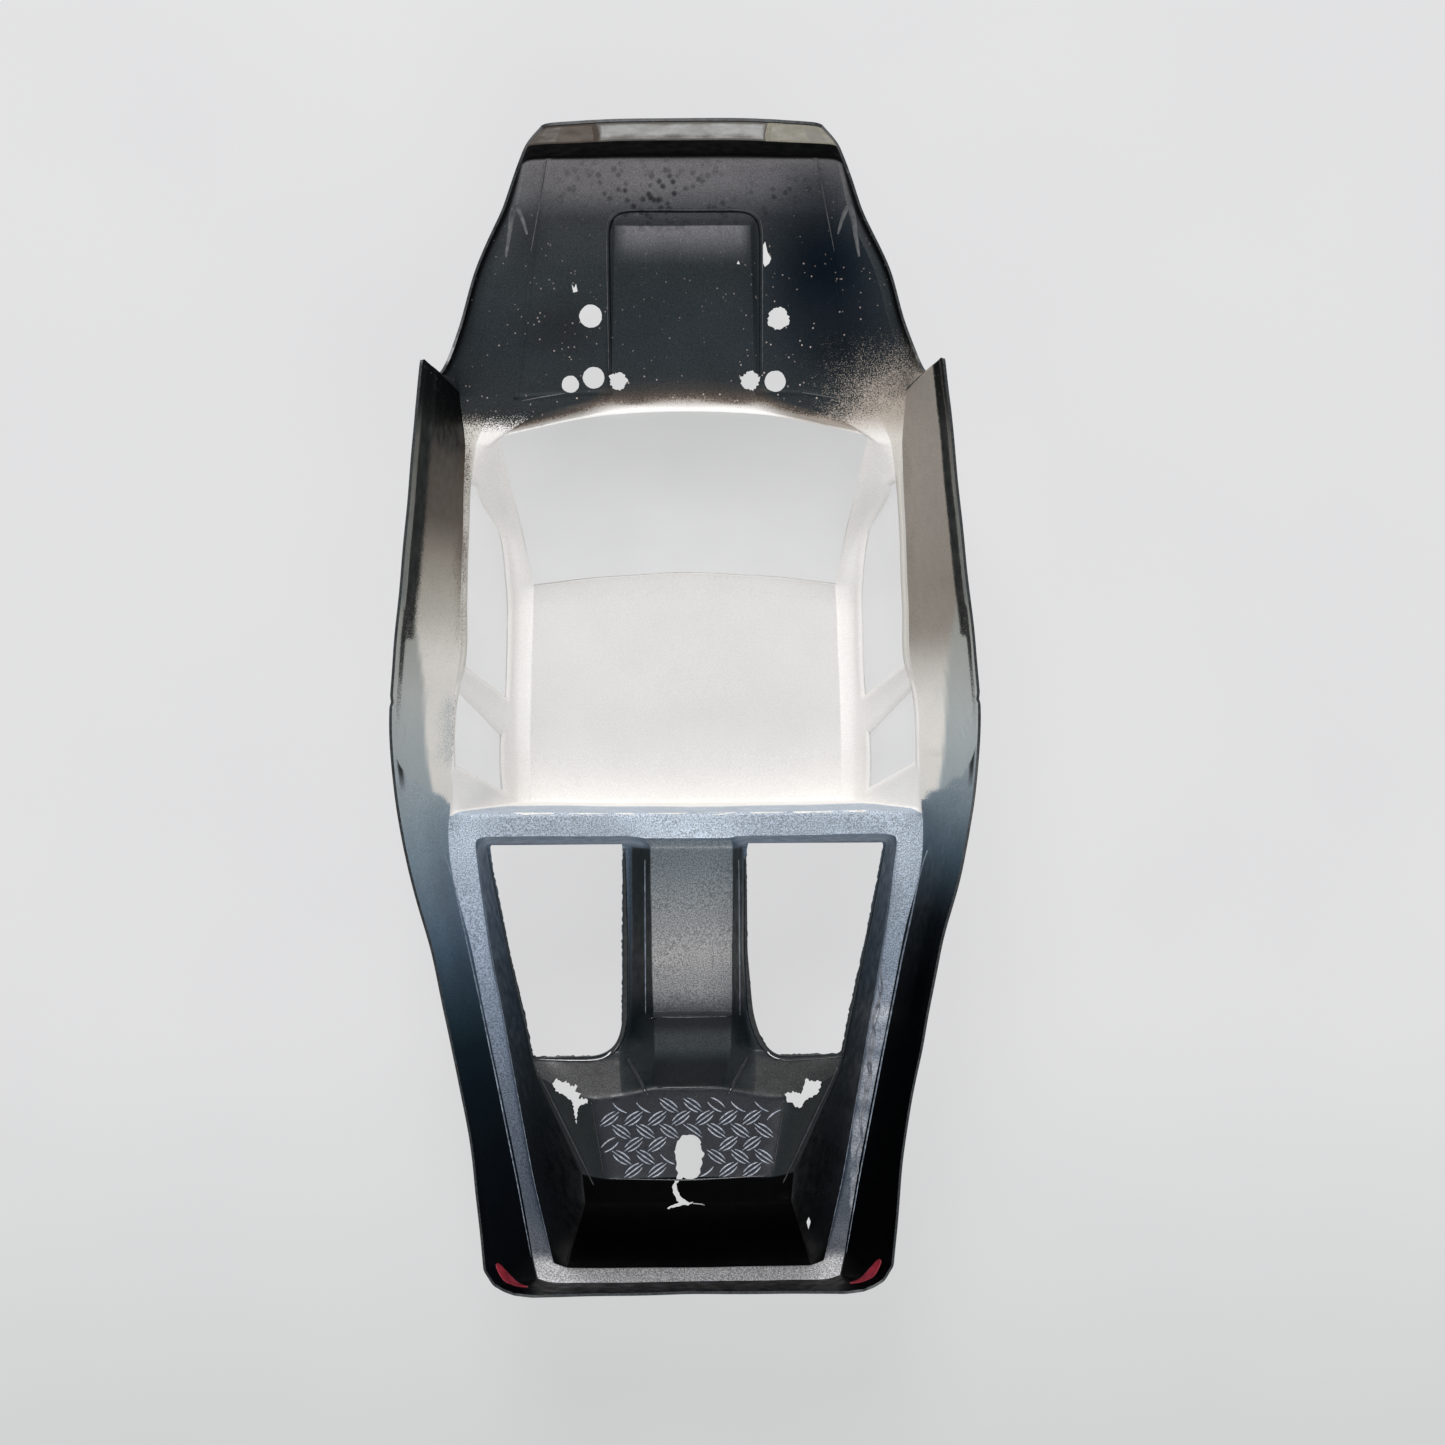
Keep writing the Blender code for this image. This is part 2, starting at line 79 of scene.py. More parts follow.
# ------------------------------------------------------------------ lines plan, as in the frame
add("nose_rim",
    [48.5, 47.9, 47.2, 46.2, 44.0, 41.0, 36.5, 30.2, 29.0, 27.0, 22.0, 0],
    [206.0, 206.3, 206.5, 206.7, 206.9, 207.1, 207.3, 207.6, 207.6, 207.7, 207.8, 208.0],
    [99.0, 99.3, 99.5, 99.7, 99.8, 99.9, 100])
add("nose_fold",
    [55.5, 54.9, 54.0, 52.4, 49.5, 45.5, 39.5, 30.6, 29.4, 27.3, 24.0, 0],
    [204.6, 205.2, 205.6, 205.9, 206.1, 206.3, 206.5, 206.8, 206.8, 206.9, 207.0, 207.2],
    [80.0, 79.6, 79.3, 79.0])
add("hood_front",
    [59.8, 59.3, 58.5, 57.0, 54.0, 51.0, 48.6, 44.0, 37.0, 27.6, 25.2, 0],
    [200.5, 203.0, 204.6, 205.7, 206.0, 206.1, 206.2, 206.3, 206.4, 206.6, 206.6, 206.8],
    [67.0, 64.0, 62.4, 61.6, 61.3, 61.2, 61.1, 60.9, 60.7, 60.4, 60.4, 60.2])
add("hood_start",
    [61.4, 60.9, 60.0, 58.6, 56.0, 53.2, 50.6, 46.0, 38.0, 27.6, 25.3, 0],
    196.5,
    [66.0, 63.2, 61.0, 59.9, 59.6, 59.4, 59.2, 59.0, 58.7, 58.2, 58.1, 57.8])
add("scoop_lip",
    [65.0, 64.3, 63.1, 61.0, 58.5, 55.6, 52.9, 47.0, 38.0, 27.6, 25.4, 0],
    [186.5, 186.3, 186, 185.7, 185.5],
    [64.5, 61.6, 59.2, 57.9, 57.6, 57.4, 57.2, 57.0, 56.7, 56.3, 56.2, 55.8])
add("scoop_face",
    [66.3, 65.6, 64.3, 62.0, 59.2, 56.0, 53.2, 47.1, 38.0, 27.7, 25.4, 0],
    [183.6, 183.5, 183.4, 183.3],
    [64.0, 61.2, 58.9, 57.6, 57.3, 57.1, 56.9, 56.7, 56.4, 56.0, 52.2, 51.6])
add("arch_top",
    [75.0, 74.3, 73.0, 70.6, 66.2, 60.6, 55.6, 48.0, 38.0, 28.2, 26.0, 0],
    165.0,
    [61.5, 59.2, 57.2, 55.7, 55.1, 54.8, 54.6, 54.2, 53.8, 53.2, 49.4, 48.6])
add("hood_middle",
    [80.4, 79.8, 78.5, 76.2, 71.0, 64.2, 58.3, 50.0, 38.5, 28.6, 26.6, 0],
    145.0,
    [62.8, 60.2, 57.7, 55.4, 53.1, 51.7, 51.0, 50.6, 50.2, 49.7, 46.7, 46.0])
add("arch_rear",
    [86.0, 85.7, 84.7, 82.2, 76.2, 68.2, 60.6, 52.0, 40.0, 29.0, 27.2, 0],
    129.0,
    [66.5, 63.2, 59.6, 56.0, 52.5, 50.0, 48.6, 48.0, 47.6, 47.2, 45.2, 44.7])
add("horn",
    [89.4, 88.7, 87.3, 83.0, 77.2, 69.2, 61.8, 53.0, 41.0, 29.2, 27.5, 0],
    [124.6, 124.2, 123.6, 120.5, 120.4, 120.6, 120.8, 121.3, 122.0, 122.8, 122.9, 123.4],
    [rocker_z, 99.0, 90.5, 50.0, 49.0, 48.1, 47.5, 47.0, 46.6, 46.2, 44.6, 44.2])
add("screen_base",
    [91.4, 90.6, 88.8, 81.6, 79.2, 76.6, 74.6, 72.6, 68.6, 30.0, 28.0, 0],
    [108.0, 108.0, 107.5, 104.0, 103.5, 103.3, 103.2, 103.5, 106.8, 114.6, 114.8, 116.1],
    [rocker_z, 99.0, 91.0, belt_z, 48.2, 47.9, 47.6, 47.3, 46.8, 45.0, 44.9, 44.6])
add("window_front",
    [92.6, 91.8, 90.0, 82.1, 80.8, 79.7, 77.6, 71.4, 66.0, 30.0, 28.0, 0],
    [95.0, 95.0, 94.5, 92.0, 91.0, 90.0, 89.2, 90.0, 93.1, 99.6, 99.7, 100.8],
    [rocker_z, 99.0, 91.0, belt_z, 46.6, 44.6, 39.8, 34.8, 34.7, 33.2, 33.2, 33.0])
add("window_brow",
    [94.8, 93.9, 92.0, 82.7, 81.7, 80.7, 71.0, 66.9, 61.9, 30.0, 28.0, 0],
    [72.0, 72.0, 72.0, 72.0, 72.0, 72.0, 73.0, 72.4, 72.3, 76.6, 76.7, 77.7],
    [rocker_z, 99.0, 91.0, belt_z, 46.4, 44.4, 20.0, 15.0, 16.3, 15.2, 15.2, 15.0])
add("roof_front",
    [96.6, 95.7, 93.8, 83.1, 82.1, 81.1, 69.0, 65.3, 59.5, 30.0, 28.0, 0],
    [53.0, 53.0, 53.0, 53.0, 53.0, 53.0, 51.5, 52.5, 55.0, 58.2, 58.3, 59.6],
    [rocker_z, 99.0, 91.0, belt_z, 46.3, 44.2, 10.8, 4.4, 1.6, 0.9])
add("roof_flat",
    [97.3, 96.4, 94.5, 83.3, 82.3, 81.3, 68.9, 65.6, 60.0, 30.0, 28.0, 0],
    [46.0, 46.0, 46.0, 46.0, 46.0, 46.0, 44.5, 46.0, 47.5, 50.0, 50.1, 51.0],
    [rocker_z, 99.0, 91.0, belt_z, 46.3, 44.2, 9.4, 3.2, roof_z])
add("door_glass_rear",
    [99.4, 98.5, 96.5, 84.0, 83.1, 82.1, 70.0, 66.4, 61.0, 30.0, 28.0, 0],
    [24.0, 24.0, 24.0, 22.6, 22.1, 21.6, 10.0],
    [rocker_z, 99.0, 91.0, belt_z, 46.5, 44.5, 9.8, 3.0, roof_z])
add("quarter_glass_front",
    [100.7, 99.8, 97.8, 85.9, 85.2, 84.4, 71.5, 66.8, 61.5, 30.0, 28.0, 0],
    [5.0, 5.5, 7.0, 13.0, 12.8, 12.6, -3.9, -4.0],
    [rocker_z, 99.0, 91.0, belt_z, 47.0, 45.4, 12.8, 3.0, roof_z])
add("quarter_glass_rear",
    [100.3, 99.4, 97.8, 87.4, 86.8, 86.1, 71.4, 66.9, 61.8, 30.0, 28.0, 0],
    [-12.0, -12.5, -13.0, -15.0, -15.0, -15.0, -26.0, -26.8, -27.0],
    [rocker_z, 99.0, 91.0, belt_z, 47.3, 45.8, 12.2, 3.2, roof_z])
add("roof_rear",
    [99.4, 98.3, 96.7, 88.2, 86.9, 85.2, 70.6, 67.0, 62.0, 30.0, 28.0, 0],
    [-26.5, -27.0, -28.0, -32.4, -32.4, -32.4, -31.6, -31.5, -31.7, -31.8],
    [100.8, 94.5, 86.0, 47.6, 46.7, 44.6, 12.0, 4.0, 0.9, 0.7])
add("rail_front",
    [98.5, 97.3, 95.5, 88.5, 83.4, 80.0, 75.2, 69.5, 62.5, 30.0, 28.0, 0],
    [-34.5, -34.5, -34.5, -34.4, -34.0, -33.8, -33.6, -33.5],
    [98.6, 92.0, 82.0, 46.3, rail_z])
add("rail_inside",
    [97.5, 96.2, 94.2, 88.7, 80.2, 77.4, 73.8, 48.0, 23.0, 16.4, 8.0, 0],
    [-43.5, -43.5, -43.5, -43.0, -43.0, -42.6, -42.3, -42.3, -42.3, -42.5],
    [95.3, 89.0, 78.5, rail_z, rail_z, rail_z, 46.2, 46.2, 46.2, 46.3])
add("tub_front",
    [96.9, 95.6, 93.4, 88.5, 79.0, 76.8, 70.5, 47.0, 21.5, 15.8, 8.0, 0],
    [-47.5, -47.5, -47.5, -47.0, -47.5, -47.2, -43.8, -43.8, -43.8, -46.0],
    [94.0, 87.5, 77.0, rail_z, rail_z, 46.3, 68.0, 68.0, 68.0, 49.2])
add("tub_side",
    [90.1, 88.9, 86.0, 80.6, 74.7, 72.6, 63.4, 42.0, 21.5, 15.5, 8.0, 0],
    -81.0,
    [79.0, 74.5, 66.0, rail_z, rail_z, 46.4, cut_z, cut_z, cut_z, 49.5])
add("spine_end",
    [86.4, 85.2, 81.6, 75.8, 70.3, 68.3, 58.2, 40.0, 21.8, 15.2, 8.0, 0],
    [-105, -105, -105, -105, -105, -105, -105, -105, -105, -106.5],
    [71.0, 67.6, 60.0, rail_z, rail_z, 46.4, 71.8, 71.8, 71.8, 50.0])
add("tub_step",
    [84.4, 83.2, 79.4, 73.1, 67.9, 65.9, 55.2, 40.0, 24.5, 13.2, 7.0, 0],
    [-118.0, -118.0, -118.0, -118.4, -118.4, -118.4, -118.4, -118.4, -117.0, -116],
    [68.0, 65.2, 57.6, rail_z, rail_z, 46.5, 72.6, 72.6, 72.6, 66.0])
add("floor_front",
    [82.9, 81.7, 77.8, 71.5, 66.6, 64.6, 53.0, 33.2, 23.0, 11.8, 6.0, 0],
    [-126.0, -126.0, -126.0, -126.0, -126.0, -126.0, -125, -131.5, -130.5, -128],
    [67.0, 64.4, 57.0, rail_z, rail_z, 46.5, 73.2, floor_z])
add("floor_rear",
    [77.6, 76.4, 71.6, 65.0, 60.6, 58.7, 36.8, 28.9, 20.0, 11.5, 6.0, 0],
    [-159.0, -159.0, -159.0, -158.8],
    [66.2, 63.6, 56.6, rail_z, rail_z, 46.5, 78.4, floor_z])
add("tail_foot",
    [76.7, 75.4, 70.1, 63.2, 59.0, 57.1, 36.0, 28.0, 20.0, 11.5, 6.0, 0],
    [-168.0, -168.0, -168.0, -168.0, -168.0, -168.0, -168.4],
    [66.8, 64.0, 56.8, rail_z, rail_z, 46.5, 79.4, 80.4, 80.6])
add("rail_rear_inside",
    [73.4, 71.8, 66.2, 58.2, 52.6, 50.0, 45.0, 30.0, 20.0, 11.5, 6.0, 0],
    [-194.9, -195.0, -195.4, -196.4, -197.4, -199.0, -200.3, -200.4],
    [71.0, 67.6, 58.0, rail_z, rail_z, 46.2, 46.4])
add("rail_rear",
    [69.1, 67.4, 62.4, 56.3, 52.4, 49.0, 44.6, 30.0, 20.0, 11.5, 6.0, 0],
    [-201.3, -201.8, -203.2, -205.0, -206.6, -207.0, -207.2, -207.4, -207.5, -207.5, -207.6],
    [71.6, 68.2, 58.0, 46.2, 46.0])
add("tail_rim",
    [62.8, 60.8, 58.6, 55.9, 52.2, 49.0, 44.6, 30.0, 20.0, 11.5, 6.0, 0],
    [-203.3, -203.6, -203.9, -204.2, -204.3, -204.4, -204.5, -204.6, -204.7, -204.8],
    [72.2, 72.2, 72.1, 72.0, 71.5, 71.2, 71.0, 70.6, 70.4, 70.2, 70.1, 70.0])

row = {name: index for index, name in enumerate(names)}
cage = np.concatenate([np.array(half) * [-1, 1, 1], np.array(half)[:, MID - 1::-1]], axis=1)
cage[:, :, 1] += ymove

# Stations and columns that the sheet runs smoothly through; at the others it is creased.
smooth_rows = {"nose_fold", "hood_start", "arch_top", "hood_middle", "arch_rear", "window_front",
               "window_brow", "door_glass_rear", "quarter_glass_front", "quarter_glass_rear",
               "tub_side"}
smooth_side_rows = {"tub_front", "spine_end", "tub_step", "floor_front", "floor_rear", "tail_foot",
                    "rail_front", "rail_inside", "roof_front", "roof_flat", "roof_rear"}


# ------------------------------------------------------------------ fine sheet over the plan
def spread(length, first=0.55, growth=1.6, most=3.6):
    """Parameters from 0 to 1 that crowd towards both ends of a stretch of this length."""
    steps = []
    step = first
    while sum(steps) + step < length / 2:
        steps.append(step)
        step = min(step * growth, most)
    ends = np.cumsum([0] + steps)
    inner = length - 2 * ends[-1]
    count = max(1, int(math.ceil(inner / most)))
    middle = ends[-1] + inner * np.arange(1, count) / count
    places = np.concatenate([ends, middle, (length - ends)[::-1]])
    return np.unique(np.round(places / length, 6))


def slopes(points, soft):
    """Tangents along axis 0 for a Hermite curve, one-sided (creased) where soft is False."""
    gap = np.linalg.norm(np.diff(points, axis=0), axis=2, keepdims=True)
    gap = np.maximum(gap, 1e-6)
    chord = np.diff(points, axis=0) / gap
    before = np.concatenate([chord[:1], chord])
    after = np.concatenate([chord, chord[-1:]])
    near = np.concatenate([gap[:1], gap])
    far = np.concatenate([gap, gap[-1:]])
    blend = (before * far + after * near) / (near + far)
    mask = soft[:, :, None]
    return np.where(mask, blend, before), np.where(mask, blend, after), gap


def hermite(points, soft, params):
    """Points along axis 0 at params (station number plus fraction), through the given points."""
    arrive, leave, gap = slopes(points, soft)
    index = np.minimum(params.astype(int), len(points) - 2)
    t = (params - index)[:, None, None]
    p0, p1, g = points[index], points[index + 1], gap[index]
    m0, m1 = leave[index] * g, arrive[index + 1] * g
    return ((2 * t**3 - 3 * t**2 + 1) * p0 + (t**3 - 2 * t**2 + t) * m0
            + (-2 * t**3 + 3 * t**2) * p1 + (t**3 - t**2) * m1)


def soft_stations():
    """For every point of the cage, whether the sheet runs smoothly through its station."""
    soft = np.zeros(cage.shape[:2], bool)
    for name, i in row.items():
        if name in smooth_rows:
            soft[i] = True
        if name in smooth_side_rows:
            soft[i, :FRAME] = True
            soft[i, last - FRAME + 1:] = True
            if name.startswith("roof"):
                soft[i, :BELT + 1] = True
    return soft


def soft_columns():
    """The same for its column: crowned hood, windscreen and bed are smooth near the middle."""
    soft = np.zeros(cage.shape[:2], bool)
    soft[:, MID] = True
    for i in range(len(cage)):
        if i <= row["horn"]:
            smooth = [FRAME, SILL, HEAD, EDGE, INNER]
        elif i <= row["roof_front"]:
            smooth = [OUT, CREST]
        else:
            smooth = [OUT, CREST] if i < row["rail_inside"] else [CREST, EDGE]
        for j in smooth:
            soft[i, j] = True
            soft[i, last - j] = True
    return soft


def stretch_params(points):
    """Fine parameters along axis 0, from the longest stretch between neighbouring stations."""
    lengths = np.linalg.norm(np.diff(points, axis=0), axis=2)
    params = []
    for i, stretch in enumerate(lengths):
        params.append(i + spread(float(np.percentile(stretch, 85)))[:-1])
    return np.concatenate(params + [[len(points) - 1.0]])


def along(points):
    """Arc length along axis 0."""
    steps = np.linalg.norm(np.diff(points, axis=0), axis=2)
    return np.concatenate([np.zeros((1, points.shape[1])), np.cumsum(steps, axis=0)])


def rounded(points, radius):
    """Rounds creases along axis 0 by averaging over a window of twice the radius, in mm."""
    offsets = np.array([-1, -0.66, -0.33, 0, 0.33, 0.66, 1])
    weights = np.array([0.5, 1, 1, 1, 1, 1, 0.5])
    arc = along(points)
    out = np.zeros_like(points)
    for j in range(points.shape[1]):
        line = points[:, j]
        place = arc[:, j]
        before = 2 * line[0] - line[1:8][::-1]
        after = 2 * line[-1] - line[-8:-1][::-1]
        longer = np.concatenate([before, line, after])
        arcs = np.concatenate([-place[1:8][::-1], place, 2 * place[-1] - place[-8:-1][::-1]])
        reach = radius[:, j]
        for u, w in zip(offsets, weights):
            at = place + u * reach
            for k in range(3):
                out[:, j, k] += w * np.interp(at, arcs, longer[:, k])
    return out / weights.sum()


def turned(points):
    return points.swapaxes(0, 1)


def fine_sheet():
    """Dense points of the outside face, with their station and column numbers."""
    r = stretch_params(cage)
    rows_fine = hermite(cage, soft_stations(), r)
    soft_c = soft_columns()[np.minimum(np.round(r).astype(int), len(cage) - 1)]
    c = stretch_params(turned(cage))
    sheet = turned(hermite(turned(rows_fine), turned(soft_c), c))
    return sheet, r, c


sheet, r_at, c_at = fine_sheet()
R, C = np.meshgrid(r_at, c_at, indexing="ij")
K = np.minimum(C, last - C)      # column number counted from the nearer rim


def ramp(value, low, high):
    t = np.clip((value - low) / (high - low), 0, 1)
    return t * t * (3 - 2 * t)


# Formed radii: the sheet is soft at the nose and roof, crisper in the pickup bed.
radius = np.full(R.shape, 1.5)
radius += 2.5 * ramp(R, 1.0, 1.8) * (1 - ramp(R, 2.2, 3.2))
radius += 1.2 * ramp(K, 5.4, 6.6) * (R > row["screen_base"]) * (R < row["roof_rear"])
radius -= 0.4 * (R > row["rail_front"] - 0.3)
radius -= 0.6 * (K > OUT - 0.6) * (R > row["scoop_lip"] - 0.8) * (R < row["horn"])
radius += 3.5 * ramp(R, row["rail_rear"] - 0.6, row["rail_rear"] + 0.2) * ramp(K, 3.2, 1.6)
sheet = rounded(sheet, radius)
sheet = turned(rounded(turned(sheet), turned(radius[:, :, None])[:, :, 0]))


def arc_from(points, params, number):
    """Signed distance along axis 0 from a numbered station, in mm."""
    arc = along(points)
    here = np.array([np.interp(number, params, arc[:, j]) for j in range(arc.shape[1])])
    return arc - here


def from_row(name):
    return arc_from(sheet, r_at, row[name])


def from_column(number):
    flipped = arc_from(turned(sheet), c_at, number).T
    mirror = arc_from(turned(sheet), c_at, last - number).T
    return np.where(C < MID, flipped, -mirror)


def normals_of(points):
    a = np.gradient(points, axis=0)
    b = np.gradient(points, axis=1)
    n = np.cross(a, b)
    return n / np.maximum(np.linalg.norm(n, axis=2, keepdims=True), 1e-9)


def bump(distance, width):
    return np.exp(-(distance / width) ** 2)


def within(low, high):
    """Stations between two names."""
    return (R >= row[low]) & (R <= row[high])


# The spine of the bed was pulled a little to the right of the centreline.
on_spine = ramp(K, INNER - 0.1, INNER + 1) * ramp(R, row["rail_inside"], row["tub_front"])
sheet[..., 0] += 1.9 * on_spine * (1 - ramp(R, row["tub_step"], row["floor_front"]))
X, Y, Z = sheet[..., 0], sheet[..., 1], sheet[..., 2]
push = np.zeros(R.shape)         # along the normal, towards the inside
# Panel gaps are grooves in the outside, so they stand up as thin ridges on the inside.
shut = from_column(HEAD)
push += 0.45 * bump(shut, 0.7) * within("hood_front", "horn")
cowl_line = from_row("horn")
push += 0.45 * bump(cowl_line, 0.7) * (K >= HEAD) * (K < CREST)
# Raised bead along the foot of the windscreen.
push -= 0.55 * bump(from_row("screen_base") + 1.2, 1.0) * ramp(K, INNER - 0.4, INNER + 0.2)


def window_depth(front, rear):
    """How far a point is inside a side window, in mm, from column and station distances."""
    sides = np.minimum(from_column(SILL), -from_column(HEAD))
    ends = np.minimum(from_row(front), -from_row(rear))
    return np.minimum(sides, ends)


# Side windows stand 0.6 mm proud of the frame, and a fine bead runs round each.
for window_ends in (("window_front", "door_glass_rear"), ("quarter_glass_front", "quarter_glass_rear")):
    depth = window_depth(*window_ends)
    push -= 0.6 * ramp(depth, -0.6, 0.9)
    push += 0.35 * bump(depth + 1.8, 0.8)
# Door rear shut line, an arc on the side below the belt.
arc_gap = np.hypot(Y - 42, Z - 66) - 52
push += 0.4 * bump(arc_gap, 0.7) * (K < BELT) * (Y < 20) * (Y > -20)
# The thin sheet is never quite true: long shallow waves and a little left-right difference.
push += 0.28 * np.sin(X * 0.045 + 1.3) * np.sin(Y * 0.052 + 0.4)
push += 0.16 * np.sin(X * 0.11 + Y * 0.07) * np.sin(Y * 0.13 - X * 0.05)
push *= 1 - 0.8 * ramp(R, row["roof_front"], row["roof_flat"]) * (R < row["roof_rear"]) * (K > INNER)
sheet = sheet + normals_of(sheet) * push[..., None]
inner = sheet + normals_of(sheet) * wall
lowest = sheet[..., 2].min()
sheet[..., 2] -= min(lowest, 0)
inner[..., 2] -= min(lowest, 0)


# ------------------------------------------------------------------ zones, one per node of the frame
def zone_names():
    """The frame node that each fine cell belongs to."""
    def mid(a):
        return (a[:-1, :-1] + a[1:, :-1] + a[:-1, 1:] + a[1:, 1:]) / 4
    r, k, left = mid(R), mid(K), mid(C) < MID
    names = np.full(r.shape, "", object)

    def area(name, low, high, col_a, col_b=last, where=True):
        names[(r > row[low]) & (r < row[high]) & (k > col_a) & (k < col_b) & where] = name

    area("nose_panel", "nose_rim", "hood_front", RIM)
    area("hood_panel", "hood_front", "screen_base", HEAD)
    area("windscreen", "screen_base", "roof_front", INNER)
    area("roof_panel", "roof_front", "roof_rear", INNER)
    area("cab_back_wall", "roof_rear", "rail_front", BELT)
    area("bed_front_rail", "rail_front", "rail_inside", BELT)
    area("bed_front_wall", "rail_inside", "tub_front", SILL)
    area("bed_spine", "tub_front", "floor_front", INNER)
    area("bed_floor", "floor_front", "floor_rear", EDGE)
    area("tail_inner_slope", "floor_rear", "rail_rear_inside", HEAD)
    area("bed_rear_rail", "rail_rear_inside", "rail_rear", BELT)
    area("tail_panel", "rail_rear", "tail_rim", RIM)
    for word, here in (("left_", left), ("right_", ~left)):
        area(word + "fender", "hood_front", "screen_base", BELT, HEAD, here)
        area(word + "fender", "hood_front", "horn", RIM, BELT, here)
        area(word + "door_panel", "horn", "quarter_glass_front", RIM, BELT, here)
        area(word + "quarter_panel", "quarter_glass_front", "rail_rear", RIM, BELT, here)
        area(word + "window_frame", "screen_base", "roof_rear", BELT, INNER, here)
        area(word + "door_window", "window_front", "door_glass_rear", SILL, HEAD, here)
        area(word + "quarter_window", "quarter_glass_front", "quarter_glass_rear", SILL, HEAD, here)
        area(word + "bed_rail", "rail_inside", "rail_rear_inside", BELT, SILL, here)
        area(word + "bed_wall", "tub_front", "rail_rear_inside", SILL, HEAD, here)
        area(word + "bed_wall", "floor_front", "floor_rear", HEAD, EDGE, here)
        area(word + "bed_step", "tub_front", "floor_front", HEAD, INNER, here)
        lamp = here & (r > 0.10) & (r < 0.90)
        names[lamp & (k > 0.8) & (k < 6.8)] = word + "headlight_sticker"
    names[(r > 0.10) & (r < 0.90) & (k > 8.1)] = "grille_sticker"
    return names


zones = zone_names()
facing = normals_of(sheet).reshape(-1, 3)    # unit vectors towards the inside of the truck
outside_points = sheet.reshape(-1, 3)
inside_points = inner.reshape(-1, 3)
grid_count = len(outside_points)


def sheet_mesh(name):
    """Closed mesh of one zone, with both faces and the walls round its border."""
    rows, cols = R.shape
    number = np.arange(rows * cols).reshape(rows, cols)
    cells = np.argwhere(zones == name)
    a = number[cells[:, 0], cells[:, 1]]
    b = number[cells[:, 0] + 1, cells[:, 1]]
    quads = np.stack([a, b, b + 1, a + 1], axis=1)
    used, compact = np.unique(quads, return_inverse=True)
    quads = compact.reshape(quads.shape)
    count = len(used)
    edges = {}
    for k in range(4):
        for p, q in zip(quads[:, k].tolist(), quads[:, (k + 1) % 4].tolist()):
            if (q, p) in edges:
                del edges[(q, p)]
            else:
                edges[(p, q)] = True
    walls = np.array([[p, q, count + q, count + p] for p, q in edges])
    rim = np.zeros((rows, cols), bool)
    rim[[0, -1], :] = True
    rim[:, [0, -1]] = True
    trimmed_edge = rim.ravel()[used[walls[:, 0]]] & rim.ravel()[used[walls[:, 1]]]
    faces = np.concatenate([quads + count, quads[:, ::-1], walls])
    points = np.concatenate([outside_points[used], inside_points[used]]) * 0.001
    mesh = bpy.data.meshes.new(name + "_skin")
    mesh.from_pydata(points.tolist(), [], faces.tolist())
    slots = np.concatenate([np.zeros(len(quads)), np.ones(len(quads)), 2 * trimmed_edge])
    mesh.polygons.foreach_set("material_index", slots.astype(np.int32))
    mesh.update()
    made = bpy.data.objects.new(name + "_skin", mesh)
    bpy.context.scene.collection.objects.link(made)
    return made, np.concatenate([used, used])[:, None]


# ------------------------------------------------------------------ paint, as display colours
def by_y(y, stops):
    """Colours blended along the truck between (y, (red, green, blue)) stops."""
    stops = sorted(stops)
    places = [stop[0] for stop in stops]
    return np.stack([np.interp(y, places, [stop[1][k] for stop in stops]) for k in range(3)], -1)


def mixed(a, b, t):
    return a + (np.asarray(b, float) - a) * t[..., None]


def patch(x_at, y_at, x_size, y_size):
    """A soft round patch of spray on the sheet, 1 at its centre."""
    return np.exp(-((sheet[..., 0] - x_at) / x_size) ** 2 - ((sheet[..., 1] - y_at) / y_size) ** 2)


# Soft patches of tone on the hood; the two pale grey ones near the front are painted highlights: x, y,
# width, length, colour, strength.
hood_tone_and_highlight_patches = [(52, 166, 20, 24, (8, 16, 24), 0.95), (58, 140, 16, 16, (16, 22, 28), 0.7),
                (-6, 152, 16, 14, (40, 46, 50), 0.4), (-56, 178, 8, 14, (34, 36, 38), 0.6),
                (-30, 196, 22, 6, (140, 136, 138), 0.6), (32, 198, 18, 5, (128, 125, 130), 0.5),
                (-44, 146, 14, 9, (34, 36, 38), 0.6), (48, 193, 12, 8, (58, 62, 68), 0.6)]


